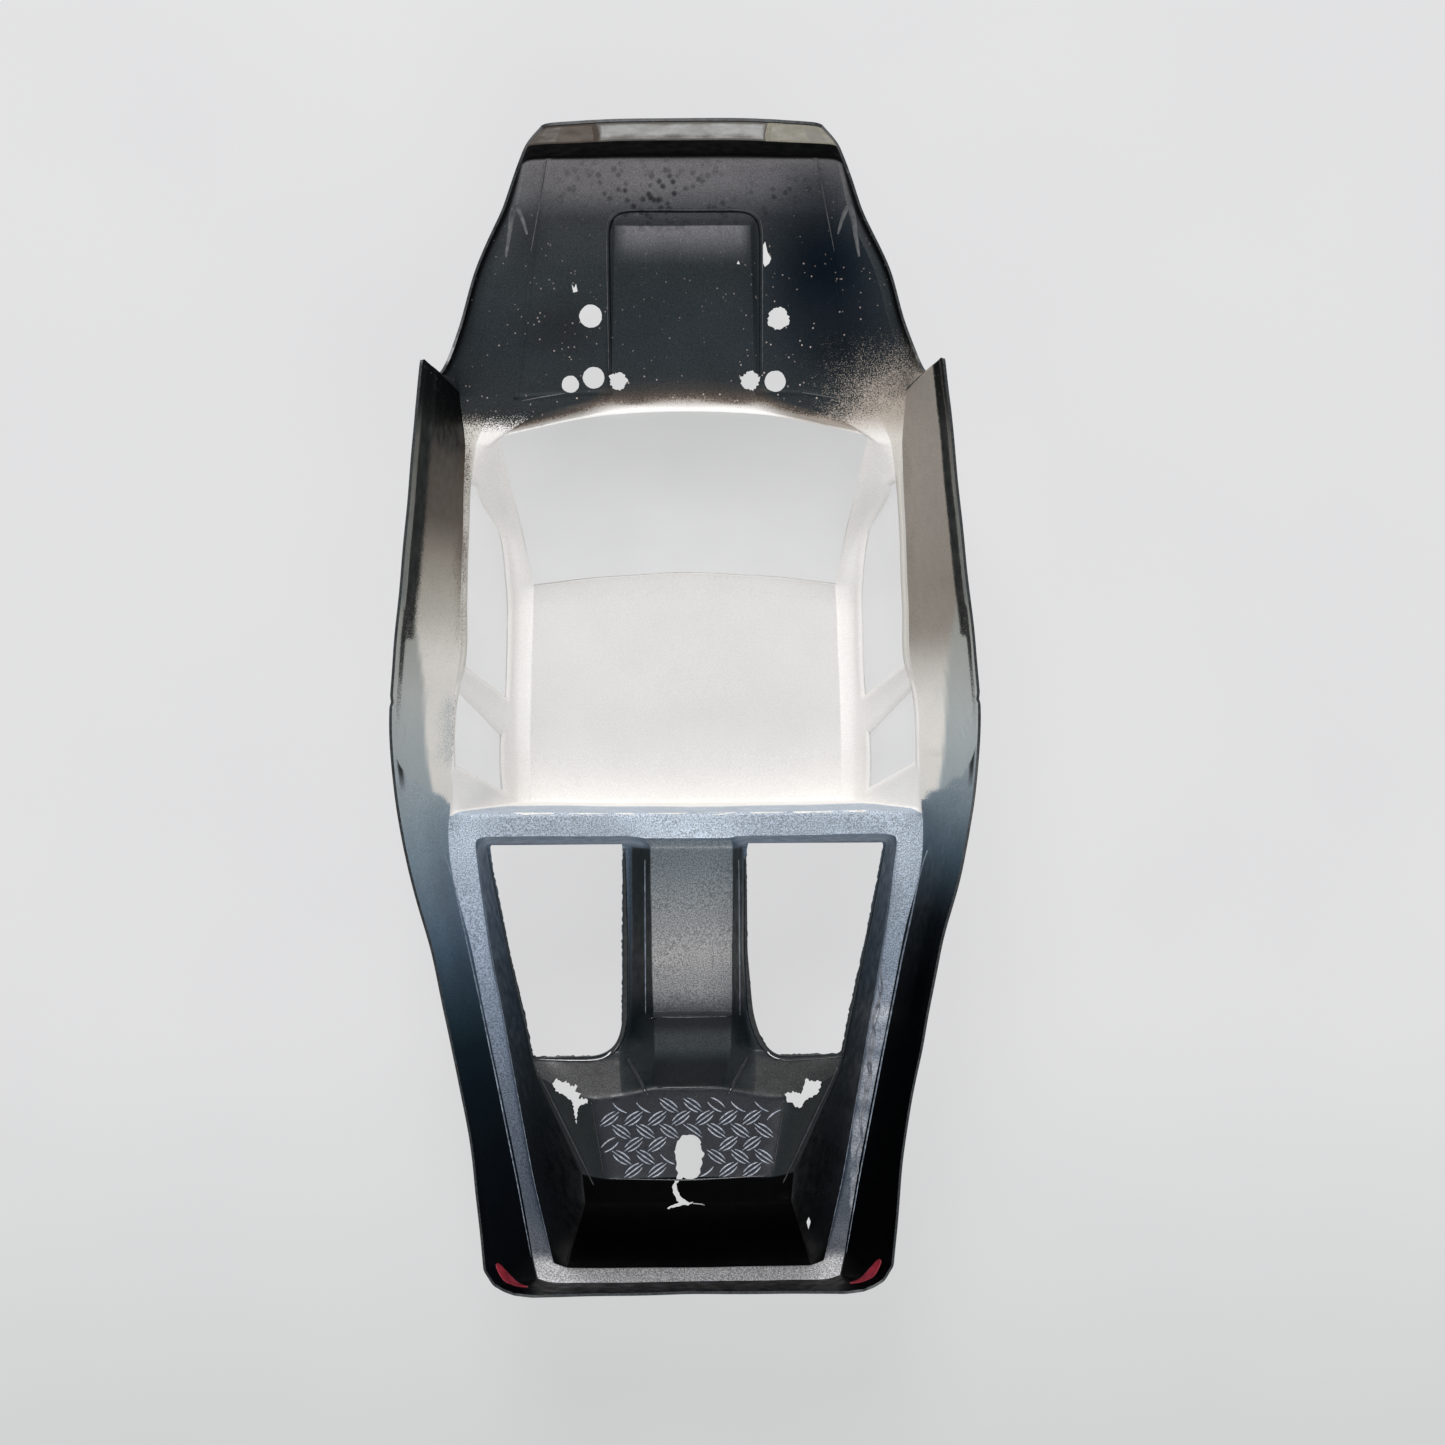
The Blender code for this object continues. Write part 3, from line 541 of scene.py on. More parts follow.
def front_coats(x, y, left, to_glass, on_hood):
    """Dark and light coat of the nose and the hood."""
    # The pale grey stops at 197 to 204, at the front of the hood, are a painted sheen.
    dark = by_y(y, [(208, (60, 60, 60)), (204, (146, 143, 145)), (197, (142, 140, 143)),
                    (184, (72, 75, 79)), (165, (48, 53, 56)), (140, (42, 47, 51)),
                    (118, (46, 50, 52)), (100, (40, 40, 38)), (60, (60, 58, 54))])
    for x_at, y_at, x_size, y_size, colour, strength in hood_tone_and_highlight_patches:
        dark = mixed(dark, colour, patch(x_at, y_at, x_size, y_size) * strength * on_hood)
    # The pale scoop face behind its front lip is a painted highlight.
    scoop = within("scoop_face", "horn") * ramp(K, OUT + 0.6, CREST + 0.1)
    dark = mixed(dark, (152, 150, 154), scoop * ramp(y, 168, 183) * ramp(abs(x), 27, 20) * 0.9)
    fender_rim = ramp(K, 1.9, 0.6) * (R > row["hood_front"]) * (R < row["horn"])
    dark = mixed(dark, (8, 9, 9), fender_rim * 0.85)
    dark = mixed(dark, (86, 74, 67), ramp(to_glass, 14, 1) * on_hood)
    dark = mixed(dark, (4, 5, 5), 1 - ramp(R, row["hood_front"] - 0.12, row["hood_front"] + 0.05))
    # Behind the nose: a brown pocket on the left, a pale one on the right, and between them a bright bar
    # that is a painted highlight.
    pocket = ((R > 0.05) & (R < 0.95))[..., None]
    middle = pocket & (K > 7.6)[..., None]
    bright = middle & ((R > 0.22) & (R < 0.62) & (K > 8.4))[..., None]
    on_left = left[..., None]
    dark = np.where(pocket, np.where(on_left, (112, 100, 92), (198, 192, 174)), dark)
    dark = np.where(middle, (140, 136, 130), dark)
    light = np.zeros(dark.shape) + (236, 233, 230)
    light = np.where(pocket, np.where(on_left, (154, 142, 130), (232, 226, 212)), light)
    light = np.where(middle, (236, 234, 229), light)
    dark = np.where(bright, (214, 212, 207), dark)
    light = np.where(bright, (252, 252, 250), light)
    return dark, light


def cab_light(light, x, y, left, to_glass, on_hood):
    """Light coat of the doors, window frames and roof."""
    door_left = by_y(y, [(116, (6, 8, 8)), (104, (4, 5, 5)), (97, (72, 66, 60)), (88, (88, 80, 72)),
                         (74, (96, 87, 80)), (60, (156, 148, 137)), (45, (190, 185, 175)),
                         (29, (202, 198, 189)), (5, (216, 213, 208)), (-40, (196, 202, 206))])
    door_right = by_y(y, [(116, (168, 160, 152)), (100, (166, 158, 149)), (71, (160, 152, 143)),
                          (50, (150, 142, 132)), (29, (158, 150, 141)), (5, (206, 201, 193)),
                          (-40, (186, 192, 198))])
    door = np.where(left[..., None], door_left, door_right)
    light = np.where(((K < BELT) & (R > row["horn"] - 0.5))[..., None], door, light)
    light = mixed(light, (200, 196, 188), ((K > BELT) & (K < SILL)) * ramp(y, 0, 30) * 0.8)
    outer_strip = by_y(y, [(112, (24, 26, 26)), (98, (96, 96, 92)), (80, (122, 122, 117)),
                           (40, (124, 130, 128))])
    strip_end = np.where(left, 0.95, 0.60)
    light = mixed(light, outer_strip, ramp(K, strip_end, strip_end - 0.10)
                  * (R > row["horn"] - 0.3) * (y > 30))
    light = mixed(light, (106, 95, 86), on_hood * (K > INNER) * ramp(to_glass, 1.0, 6))
    on_roof = (K > INNER) & (R > row["roof_front"]) & (R < row["roof_rear"] + 0.3)
    light = mixed(light, (209, 207, 205), on_roof * ramp(y, -34, 6))
    return mixed(light, (168, 158, 148), ramp(y, 103, 116) * near_cowl() * ramp(x, 30, 52))


def near_cowl():
    """The hood sides, where overspray from the cab reaches."""
    return ((K >= BELT) | (R < row["horn"] - 0.3)) & (R > row["arch_top"])


def front_cover(x, y, left, to_glass, belt, bevel, dust):
    """How far the dark coat covers from the nose to the doors."""
    # Dark overspray reaches down the hood to the glass, and further on the right.
    reach = 9 + 4 * ramp(abs(x), 40, 70) + 12 * ramp(x, 45, 75)
    cover = ramp(to_glass, 0.4, 1.0 * reach) * (R < row["screen_base"] + 0.02)
    cover = np.where((K < INNER) & (K >= BELT), ramp(y, 103, 117), cover)
    cover = np.where((K < BELT) & (R > row["horn"] - 0.2), 0.16 * ramp(y, -15, 10), cover)
    cover = np.maximum(cover, belt * (0.44 + 0.08 * np.sin(y * 0.21 + 1)))
    cover = np.maximum(cover, dust * 0.42)
    streak = left * ramp(K, BELT - 0.7, BELT) * ramp(K, FRAME + 0.2, BELT) * ramp(abs(y + 2), 20, 8)
    cover = np.maximum(cover, streak * 0.5)
    cover = np.maximum(cover, bevel * ramp(y, -18 - 10 * (x > 0), 56) * 0.97)
    cover = np.where(R < row["horn"] - 0.3, np.maximum(cover, ramp(K, HEAD + 0.4, HEAD - 0.4)), cover)
    fog = ramp(x, 34, 82) * ramp(y, 152, 112) * near_cowl()
    return cover * (1 - 0.75 * fog)


def side_coat(y, left):
    """Blue-grey of the sides behind the doors; the right side turns black sooner."""
    side_left = by_y(y, [(0, (178, 186, 190)), (-25, (160, 172, 180)), (-47, (132, 150, 162)),
                         (-66, (112, 130, 146)), (-82, (78, 97, 114)), (-118, (22, 35, 42)),
                         (-155, (13, 18, 23)), (-200, (6, 8, 11))])
    side_right = by_y(y, [(0, (180, 186, 190)), (-25, (130, 144, 154)), (-47, (70, 87, 99)),
                          (-72, (10, 14, 18)), (-92, (2, 3, 4)), (-200, (2, 2, 3))])
    return np.where(left[..., None], side_left, side_right)


def bed_coat(x, y, left, side):
    """Blue-grey metallic of the bed, which fades to black at the tail."""
    # The rail tone turns near white at the rear rail, a painted sheen.
    rail = by_y(y, [(-30, (168, 178, 190)), (-47, (180, 190, 203)), (-82, (140, 152, 168)),
                    (-118, (104, 115, 131)), (-155, (72, 81, 94)), (-180, (56, 64, 76)),
                    (-195, (90, 94, 102)), (-199.5, (222, 221, 223))])
    tub = by_y(y, [(-44, (66, 78, 92)), (-60, (56, 70, 84)), (-118, (16, 24, 28)),
                   (-150, (8, 12, 14)), (-175, (3, 4, 5)), (-200, (1, 2, 2))])
    # On the spine the pale middle is a painted highlight, and the light and dark bands at its rear end are
    # painted light and shade of its stepped facets.
    spine = by_y(y, [(-44, (84, 92, 98)), (-60, (104, 110, 114)), (-85, (146, 145, 145)),
                     (-100, (116, 117, 119)), (-107, (50, 54, 58)), (-110, (10, 14, 18)),
                     (-114, (50, 54, 57)), (-118, (44, 50, 52)), (-122, (2, 8, 12)),
                     (-128, (2, 8, 12))])
    smear = (x > 60) * ramp(y, -88, -112) * (0.55 + 0.45 * np.sin(y * 0.45) * np.sin(y * 0.17 + 1))
    coat = mixed(rail, (214, 213, 216), smear * 0.62)
    coat = mixed(coat, side, ramp(K, BELT + 0.12, BELT - 0.12))
    on_plate = (R >= row["floor_front"]) & (R <= row["floor_rear"])
    step = (R > row["tub_step"] + 0.15) & (R < row["floor_front"]) & (K > HEAD) & (K < INNER)
    # The grey of the two steps is a painted reflection, lighter on the left.
    step_reflection_tone = np.where(left[..., None], (60, 60, 61), (42, 44, 44))
    # Each area and its tone; later areas lie over earlier ones.
    for area, tone in (
            ((K > SILL + 0.05) & (R > row["rail_inside"]) & (R < row["rail_rear_inside"]), tub),
            ((K > INNER + 0.95) & (R > row["rail_inside"] + 0.3) & (R < row["floor_front"]), spine),
            ((K > INNER + 0.1) & (K <= INNER + 0.95) & (R > row["tub_front"])
             & (R < row["floor_front"]), (12, 20, 23)),
            (step, step_reflection_tone),
            (on_plate & (K >= EDGE), (20, 24, 32)),
            (on_plate & (K < EDGE) & (K > HEAD), (14, 22, 24)),
            ((R > row["floor_rear"]) & (R < row["rail_rear_inside"] - 0.1) & (K > HEAD), (1, 1, 1)),
            (R > row["rail_rear"] + 0.03, (3, 3, 4))):
        coat = np.where(area[..., None], tone, coat)
    return coat


def paint_fields():
    """Dark coat, light coat and how far the dark one covers, for every point of the sheet."""
    x, y = sheet[..., 0], sheet[..., 1]
    left = C < MID
    to_glass = np.maximum(-from_row("screen_base"), 0)
    on_hood = (K >= BELT) & (R > row["hood_front"]) & (R < row["screen_base"] + 0.5)
    low_side = (K < BELT) & (R > row["horn"])
    # Brown spray along the belt, the dark bevel above the rocker edge, dust by the left rear window.
    belt = ramp(K, BELT - 0.45, BELT) * ramp(K, SILL + 0.1, FRAME) * ramp(y, 12, 50) * (y < 108)
    outward = np.where(left, 0.0, 0.35)
    bevel = ramp(K, 0.80 - outward, 1.05 - outward) * ramp(K, 2.2 - outward, 1.95 - outward)
    dust = left * (K > BELT) * (K < FRAME) * ramp(abs(y), 15, 9)

    dark, light = front_coats(x, y, left, to_glass, on_hood)
    light = cab_light(light, x, y, left, to_glass, on_hood)
    cover = front_cover(x, y, left, to_glass, belt, bevel, dust)
    brown = np.where(left[..., None], (92, 78, 68), (142, 132, 122))
    dark = mixed(dark, brown, belt)
    dark = mixed(dark, (16, 20, 20), bevel * (R > row["horn"] - 0.3))

    # The masked crease strip along the lower side, white above it and grey below.
    crease = np.interp(y, [-30, -15, 12, 40], [2.60, 2.46, 2.35, 2.0])
    in_strip = ramp(K - crease, 0.05, -0.05) * ramp(y, 46, 34)
    strip_tone = by_y(y, [(40, (160, 160, 152)), (10, (188, 192, 190)), (-20, (170, 180, 184))])
    above = mixed(light, (243, 239, 232), ramp(y, 46 - 10 * (x > 0), 18 - 12 * (x > 0)))
    light = np.where(low_side[..., None], mixed(above, strip_tone, in_strip), light)

    # Behind the cab the whole sheet is blue-grey, from an arc on the sides and the top of the wall.
    side = side_coat(y, left)
    bed = bed_coat(x, y, left, side)
    dark = np.where((R > row["quarter_glass_front"] - 1)[..., None] & (y < 40)[..., None], side, dark)
    dark = np.where((R > row["roof_rear"] + 0.02)[..., None] & (K >= BELT - 0.2)[..., None], bed, dark)
    dark = np.where((R > row["rail_front"])[..., None], bed, dark)
    arc = np.interp(K, [0, 2.0, 2.9, 3.0], [-8, -19, -28, -29])
    cover_rear = ramp(R, row["roof_rear"] + 0.25, row["roof_rear"] + 0.55)
    at_back = np.where(K < BELT, ramp(y - arc, 1.2, -1.2), cover_rear)
    cover = np.where(y < 14, np.maximum(cover * (y > -20), at_back), cover)
    cover = np.where(low_side & (y > -6), cover * (1 - in_strip * (y < 30)), cover)
    narrow = ramp(K, 0.62 - outward, 0.86 - outward) * ramp(K, 1.60 - outward, 1.26 - outward) * low_side
    cover = np.maximum(cover, narrow * (y < 40) * ramp(y, -16, 34) * 0.85)
    dark = mixed(dark, (14, 18, 18), narrow * (y < 44) * ramp(y, -24, -14))
    dark = mixed(dark, (112, 104, 98), dust)
    return dark, light, np.clip(cover, 0, 1)


def linear(display):
    v = np.clip(np.asarray(display, float) / 255, 0, 1)
    return np.where(v <= 0.04045, v / 12.92, ((v + 0.055) / 1.055) ** 2.4)


dark_coat, light_coat, cover_at = paint_fields()
front = (R > row["hood_front"]) & (R < row["screen_base"])
# Where dark blots show on the hood, and where light dust has settled on it.
mottle_at = np.clip(1.2 * (patch(-12, 193, 30, 10) + 0.6 * patch(36, 190, 16, 8)), 0, 1) * front
specks_at = (patch(0, 121, 60, 6) + 0.7 * patch(44, 140, 22, 30) + 0.5 * patch(-52, 138, 20, 16)) * front
specks_at = np.clip(specks_at + 0.30 * front, 0, 1) * 0.9


# ------------------------------------------------------------------ trimming and damage
def jagged(points, size, step=0.9):
    """A closed outline with points every step mm, each moved a little, as if cut by hand."""
    out = []
    for a, b in zip(points, points[1:] + points[:1]):
        a, b = np.array(a, float), np.array(b, float)
        length = np.linalg.norm(b - a)
        side = np.array([b[1] - a[1], a[0] - b[0]]) / max(length, 1e-6)
        for k in range(max(1, int(length / step))):
            t = k * step / length
            out.append(a + (b - a) * t + side * rng.normal(0, size))
    return out


def rounded_outline(corners):
    """Corners (x, y, radius) turned into a list of points with arcs."""
    out = []
    count = len(corners)
    for i, (x, y, r) in enumerate(corners):
        here = np.array([x, y], float)
        a = np.array(corners[i - 1][:2], float) - here
        b = np.array(corners[(i + 1) % count][:2], float) - here
        a /= np.linalg.norm(a)
        b /= np.linalg.norm(b)
        half_angle = math.acos(np.clip(a @ b, -1, 1)) / 2
        cut = r / math.tan(half_angle)
        for t in np.linspace(0, 1, 6 if r > 1 else 2):
            out.append(tuple(here + a * cut * (1 - t) ** 2 + b * cut * t ** 2))
    return out


def round_hole(x, y, r, size, wobble=0.0):
    turn = np.linspace(0, 2 * math.pi, 44, endpoint=False)
    wave = wobble * np.sin(3 * turn + rng.uniform(0, 6)) + wobble * np.sin(5 * turn + rng.uniform(0, 6))
    reach = r + wave + rng.normal(0, size, len(turn))
    return [(x + q * math.cos(t), y + q * math.sin(t)) for q, t in zip(reach, turn)]


# Post holes: x, y, radius, how rough the edge is.
post_holes = [(-34.0, 150.0, 4.2, 0.05), (35.0, 149.0, 4.0, 0.24), (-41.8, 125.6, 3.2, 0.05),
              (-33.2, 128.0, 4.0, 0.04), (-24.2, 127.0, 3.3, 0.24), (24.6, 127.2, 3.5, 0.26),
              (33.9, 126.5, 3.9, 0.05)]
left_opening = [(-71.0, -43.0, 1.5), (-23.0, -43.0, 2.2), (-23.3, -80, 60), (-23.6, -118.0, 7.5),
                (-55.0, -118.2, 1.5), (-57.6, -105, 30), (-63.4, -81, 60)]
right_opening = [(71.2, -43.2, 1.5), (21.6, -43.0, 3.4), (21.6, -82, 60), (23.6, -107, 9),
                 (30.0, -118.4, 3.0), (54.8, -118.0, 2.0), (57.4, -105, 30), (63.2, -81, 60)]
floor_hole = [(-3.6, -146.5), (-2.4, -144.6), (0.4, -143.9), (3.0, -144.6), (4.4, -146.8),
              (4.9, -150.0), (5.8, -150.6), (5.2, -152.0), (4.9, -154.2), (4.1, -157.0),
              (3.2, -159.2), (1.4, -160.4), (-0.2, -160.4), (-1.6, -159.6), (-3.2, -160.6),
              (-4.3, -162.4), (-3.6, -164.4), (-2.9, -166.4), (-1.4, -167.9), (0.4, -168.9),
              (2.2, -168.8), (-0.2, -170.6), (-3.6, -171.2), (-8.6, -172.6), (-6.2, -170.2),
              (-3.4, -168.9), (-4.6, -167.2), (-5.6, -165.0), (-5.7, -163.0), (-5.0, -160.8),
              (-3.7, -158.2), (-4.2, -156.0), (-4.4, -152.6), (-4.8, -150.0), (-4.4, -148.4)]
floor_slit = [(1.6, -169.2), (4.6, -169.6), (8.0, -171.6), (4.4, -170.3), (1.2, -169.9)]
left_tear = [(-48.0, -127.2), (-46.4, -125.2), (-44.4, -126.2), (-42.8, -125.6), (-41.4, -127.4),
             (-39.2, -126.8), (-39.6, -128.8), (-37.4, -129.6), (-38.4, -131.2), (-35.0, -131.4),
             (-35.4, -132.8), (-38.0, -133.6), (-38.7, -136.0), (-39.4, -141.0), (-40.3, -135.8),
             (-41.4, -132.4), (-44.2, -130.6), (-46.6, -129.6)]
right_tear = [(47.6, -127.6), (46.2, -126.2), (43.6, -126.8), (41.6, -125.6), (41.0, -128.6),
              (39.8, -130.4), (36.2, -129.6), (33.8, -130.2), (34.6, -132.4), (36.2, -133.2),
              (37.4, -134.8), (39.4, -136.0), (41.4, -133.8), (44.0, -132.6), (46.4, -130.8)]
chips = [[(30.2, 176.4), (31.0, 172.8), (32.4, 170.4), (31.6, 168.4), (30.0, 167.2), (29.0, 169.4),
          (29.4, 172.4), (29.0, 174.6)],
         [(-40.8, 161.4), (-39.9, 160.0), (-39.2, 161.6), (-38.6, 158.6), (-40.2, 158.2)],
         [(20.4, 170.6), (21.2, 169.0), (19.8, 169.2)],
         [(61.4, -178.0), (62.2, -181.2), (60.6, -180.0)],
         [(43.4, -178.6), (44.4, -181.4), (43.6, -184.4), (42.6, -180.4)]]


def calm_front(points, limit=-45.0, straight=-43.1):
    """Straighten the front side of an opening, which lies on a steep wall."""
    return [(x, y if y < limit else straight) for x, y in points]


def prism(outline, z_low, z_high):
    points = [(x, y + ymove, z) for z in (z_low, z_high) for x, y in outline]
    n = len(outline)
    area = sum(a[0] * b[1] - b[0] * a[1] for a, b in zip(outline, outline[1:] + outline[:1]))
    top = list(range(n, 2 * n))
    faces = [list(range(n))[::-1], top] + [[k, (k + 1) % n, n + (k + 1) % n, n + k] for k in range(n)]
    if area < 0:
        faces = [face[::-1] for face in faces]
    return points, faces


def cutters():
    """One object that holds every tool, each cutting only the level that it stands in."""
    prisms = [prism(round_hole(x, y, r, rough, rough * 0.6), 36, 59) for x, y, r, rough in post_holes]
    prisms += [prism(calm_front(jagged(rounded_outline(side), 0.14)), 60, 84)
               for side in (left_opening, right_opening)]
    prisms.append(prism(jagged(floor_hole, 0.20, 0.7), 70, 95))
    prisms.append(prism(floor_slit, 60, 95))
    prisms += [prism(jagged(tear, 0.26, 0.6), 60, 95) for tear in (left_tear, right_tear)]
    prisms += [prism(chip, 40, 90) for chip in chips]
    points, faces = [], []
    for some, more in prisms:
        start = len(points)
        points += some
        faces += [[start + n for n in face] for face in more]
    mesh = bpy.data.meshes.new("trim_tools")
    mesh.from_pydata((np.array(points) * 0.001).tolist(), [], faces)
    mesh.polygons.foreach_set("material_index", np.full(len(faces), 2, np.int32))
    tool = bpy.data.objects.new("trim_tools", mesh)
    bpy.context.scene.collection.objects.link(tool)
    return tool


def trim(piece, tool):
    for slot in piece.material_slots:
        tool.data.materials.append(slot.material)
    cut = piece.modifiers.new("trim", "BOOLEAN")
    cut.operation = "DIFFERENCE"
    cut.solver = "EXACT"
    cut.use_self = True
    cut.object = tool
    graph = bpy.context.evaluated_depsgraph_get()
    mesh = bpy.data.meshes.new_from_object(piece.evaluated_get(graph))
    piece.modifiers.clear()
    old = piece.data
    piece.data = mesh
    bpy.data.meshes.remove(old)
    tool.data.materials.clear()


plan_tree = KDTree(2 * grid_count)
for n, p in enumerate(np.concatenate([outside_points, inside_points])):
    plan_tree.insert(p, n)
plan_tree.balance()


def nearest_plan(mesh):
    """For each vertex, the four nearest points of the plan and their weights."""
    count = len(mesh.vertices)
    co = np.empty(count * 3, np.float32)
    mesh.vertices.foreach_get("co", co)
    found = np.zeros((count, 4), int)
    weight = np.zeros((count, 4))
    for n, p in enumerate(co.reshape(-1, 3) * 1000):
        for k, (_, index, away) in enumerate(plan_tree.find_n(p, 4)):
            found[n, k] = index % grid_count
            weight[n, k] = 1 / (away + 0.003) ** 2
    return found, weight / weight.sum(1, keepdims=True)


def give_paint(mesh, found, weight):
    """Writes the coats of the plan to every vertex, and its normals to every corner."""
    count = len(mesh.vertices)
    for name, field in (("dark_coat", dark_coat), ("light_coat", light_coat)):
        values = np.ones((count, 4), np.float32)
        values[:, :3] = (linear(field.reshape(-1, 3))[found] * weight[..., None]).sum(1)
        layer = mesh.attributes.new(name, "FLOAT_COLOR", "POINT")
        layer.data.foreach_set("color", values.ravel())
    for name, field in (("cover", cover_at), ("mottle", mottle_at), ("specks", specks_at)):
        layer = mesh.attributes.new(name, "FLOAT", "POINT")
        layer.data.foreach_set("value", (field.ravel()[found] * weight).sum(1).astype(np.float32))
    normal = (facing[found] * weight[..., None]).sum(1)
    normal /= np.linalg.norm(normal, axis=1, keepdims=True)
    loops = np.empty(len(mesh.loops), np.int32)
    mesh.loops.foreach_get("vertex_index", loops)
    sides = np.empty(len(mesh.polygons), np.int32)
    mesh.polygons.foreach_get("material_index", sides)
    corners = np.empty(len(mesh.polygons), np.int32)
    mesh.polygons.foreach_get("loop_total", corners)
    flat = np.empty(len(mesh.polygons) * 3, np.float32)
    mesh.polygons.foreach_get("normal", flat)
    side_of = np.repeat(sides, corners)
    turned_out = np.where(side_of == 1, -1, 1)[:, None] * normal[loops]
    out = np.where((side_of == 2)[:, None], np.repeat(flat.reshape(-1, 3), corners, 0), turned_out)
    mesh.polygons.foreach_set("use_smooth", np.ones(len(mesh.polygons), bool))
    mesh.normals_split_custom_set(out.tolist())


# ------------------------------------------------------------------ materials
class Nodes:
    """A material's node tree, with short ways to add and link nodes."""

    def __init__(self, name):
        self.material = bpy.data.materials.new(name)
        self.material.use_nodes = True
        self.tree = self.material.node_tree
        self.shader = self.tree.nodes["Principled BSDF"]
        self.coordinates = self.tree.nodes.new("ShaderNodeTexCoord").outputs["Object"]

    def put(self, value, socket):
        """Gives a socket a number or a colour, or links another node's output to it."""
        if isinstance(value, (int, float)):
            socket.default_value = value
        elif isinstance(value, tuple):
            socket.default_value = (*value, 1.0)
        else:
            self.tree.links.new(value, socket)

    def surface(self, name, value):
        self.put(value, self.shader.inputs[name])

    def node(self, kind, values, **settings):
        """The outputs of a new node, with its sockets filled in by number or name."""
        node = self.tree.nodes.new("ShaderNode" + kind)
        for key, value in settings.items():
            setattr(node, key, value)
        for socket, value in values.items():
            self.put(value, node.inputs[socket])
        return node.outputs

    def attribute(self, name, output="Color"):
        return self.node("Attribute", {}, attribute_name=name)[output]

    def noise(self, scale, detail=2.0, roughness=0.5):
        values = {"Scale": scale, "Detail": detail, "Roughness": roughness, "Vector": self.coordinates}
        return self.node("TexNoise", values)["Fac"]

    def cells(self, scale):
        return self.node("TexVoronoi", {"Scale": scale, "Vector": self.coordinates})["Distance"]

    def span(self, value, low, high, to_low=0.0, to_high=1.0):
        """Maps the range from low to high of a value to another range, and clamps it."""
        values = {"Value": value, "From Min": low, "From Max": high, "To Min": to_low, "To Max": to_high}
        return self.node("MapRange", values)["Result"]

    def maths(self, kind, a, b):
        return self.node("Math", {0: a, 1: b}, operation=kind)[0]

    def mix(self, factor, a, b, blend="MIX"):
        return self.node("Mix", {0: factor, 6: a, 7: b}, data_type="RGBA", blend_type=blend)[2]

    def bump(self, height, strength):
        values = {"Strength": strength, "Distance": 0.0002, "Height": height}
        self.surface("Normal", self.node("Bump", values)["Normal"])


def shade(red, green, blue):
    """A display colour, 0 to 255, as the linear values that a shader takes."""
    return tuple(float(v) for v in linear((red, green, blue)))


def sprayed(name, inside, gloss=0.4, flakes=0.18, relief=0.11):
    """Two sprayed coats. The edge between them breaks up into overspray dots."""
    n = Nodes(name)
    dots = n.noise(2300, 1.0)
    patches = n.noise(160, 3.0, 0.6)
    grain = n.maths("ADD", n.maths("MULTIPLY", dots, 0.80), n.maths("MULTIPLY", patches, 0.20))
    wanted = n.span(n.attribute("cover", "Fac"), 0, 1, -0.36, 1.36)
    lift = n.maths("SUBTRACT", wanted, n.span(grain, 0.33, 0.67))
    cover = n.span(lift, -0.36, 0.36)
    colour = n.mix(cover, n.attribute("light_coat"), n.attribute("dark_coat"))
    flake = n.span(n.noise(2100, 0.0), 0.30, 0.72, 1 - flakes, 1 + 1.2 * flakes)
    cloud = n.span(n.noise(55, 4.0, 0.6), 0.3, 0.7, 0.93, 1.07)
    tone = n.maths("MULTIPLY", flake, cloud)
    tone = n.node("CombineXYZ", {0: tone, 1: tone, 2: tone})[0]
    colour = n.mix(n.span(cover, 0, 1, 0.25, 1.0), colour, tone, "MULTIPLY")
    if inside:
        blot = n.maths("MULTIPLY", n.span(n.cells(330), 0.46, 0.22), n.span(n.noise(80), 0.38, 0.52))
        blot = n.maths("MULTIPLY", blot, n.attribute("mottle", "Fac"))
        colour = n.mix(n.maths("MULTIPLY", blot, 0.75), colour, shade(30, 28, 30))
        dust = n.maths("MULTIPLY", n.span(n.cells(520), 0.20, 0.12), n.span(n.noise(330), 0.54, 0.60))
        specks = n.maths("MULTIPLY", dust, n.attribute("specks", "Fac"))
        colour = n.mix(specks, colour, shade(196, 182, 176))
        n.surface("Roughness", n.span(n.noise(240, 3.0), 0.3, 0.7, 0.30, 0.52))
        n.bump(n.maths("ADD", n.noise(1300, 2.0), n.noise(320, 2.0)), relief)
        n.surface("Specular IOR Level", gloss)
    else:
        n.surface("Roughness", 0.16)
        n.surface("Coat Weight", 0.6)
        n.surface("Coat Roughness", 0.05)
    n.surface("Base Color", colour)
    return n.material


def clear_sheet():
    """Unpainted sheet: mostly see-through and hazy, and greyer towards the foot of the windscreen, a painted
    shadow of the body on the table seen through it.
    """
    n = Nodes("window_sheet")
    haze = n.span(n.noise(38, 4.0, 0.6), 0.3, 0.7, 0.0, 0.25)
    painted_shadow_at_foot = n.span(n.node("SeparateXYZ", {0: n.coordinates})["Y"], 0.080, 0.112, 0.0, 0.85)
    n.surface("Base Color", n.mix(n.maths("ADD", haze, painted_shadow_at_foot), shade(236, 236, 233), shade(96, 100, 92)))
    n.surface("Alpha", 0.10)
    n.surface("Roughness", 0.14)
    n.bump(n.noise(500, 2.0), 0.05)
    return n.material


def sticker_paper():
    """The back of a printed sticker, mottled where the glue shows."""
    n = Nodes("sticker_back")
    blot = n.span(n.noise(130, 4.0, 0.65), 0.35, 0.65)
    n.surface("Base Color", n.mix(blot, n.attribute("dark_coat"), n.attribute("light_coat")))
    n.surface("Roughness", 0.30)
    n.bump(n.noise(420, 2.0), 0.2)
    return n.material


def plain(name, tones, rough, gloss=None, scale=500, grain=0.1, grain_scale=900):
    """One paint or plastic: two tones mixed by fine noise, with a fine grain."""
    n = Nodes(name)
    one, other = tones
    n.surface("Base Color", n.mix(n.span(n.noise(scale, 2.0), 0.35, 0.65), shade(*one), shade(*other)))
    n.surface("Roughness", rough)
    if gloss is not None:
        n.surface("Specular IOR Level", gloss)
    if grain:
        n.bump(n.noise(grain_scale, 1.0), grain)
    return n.material


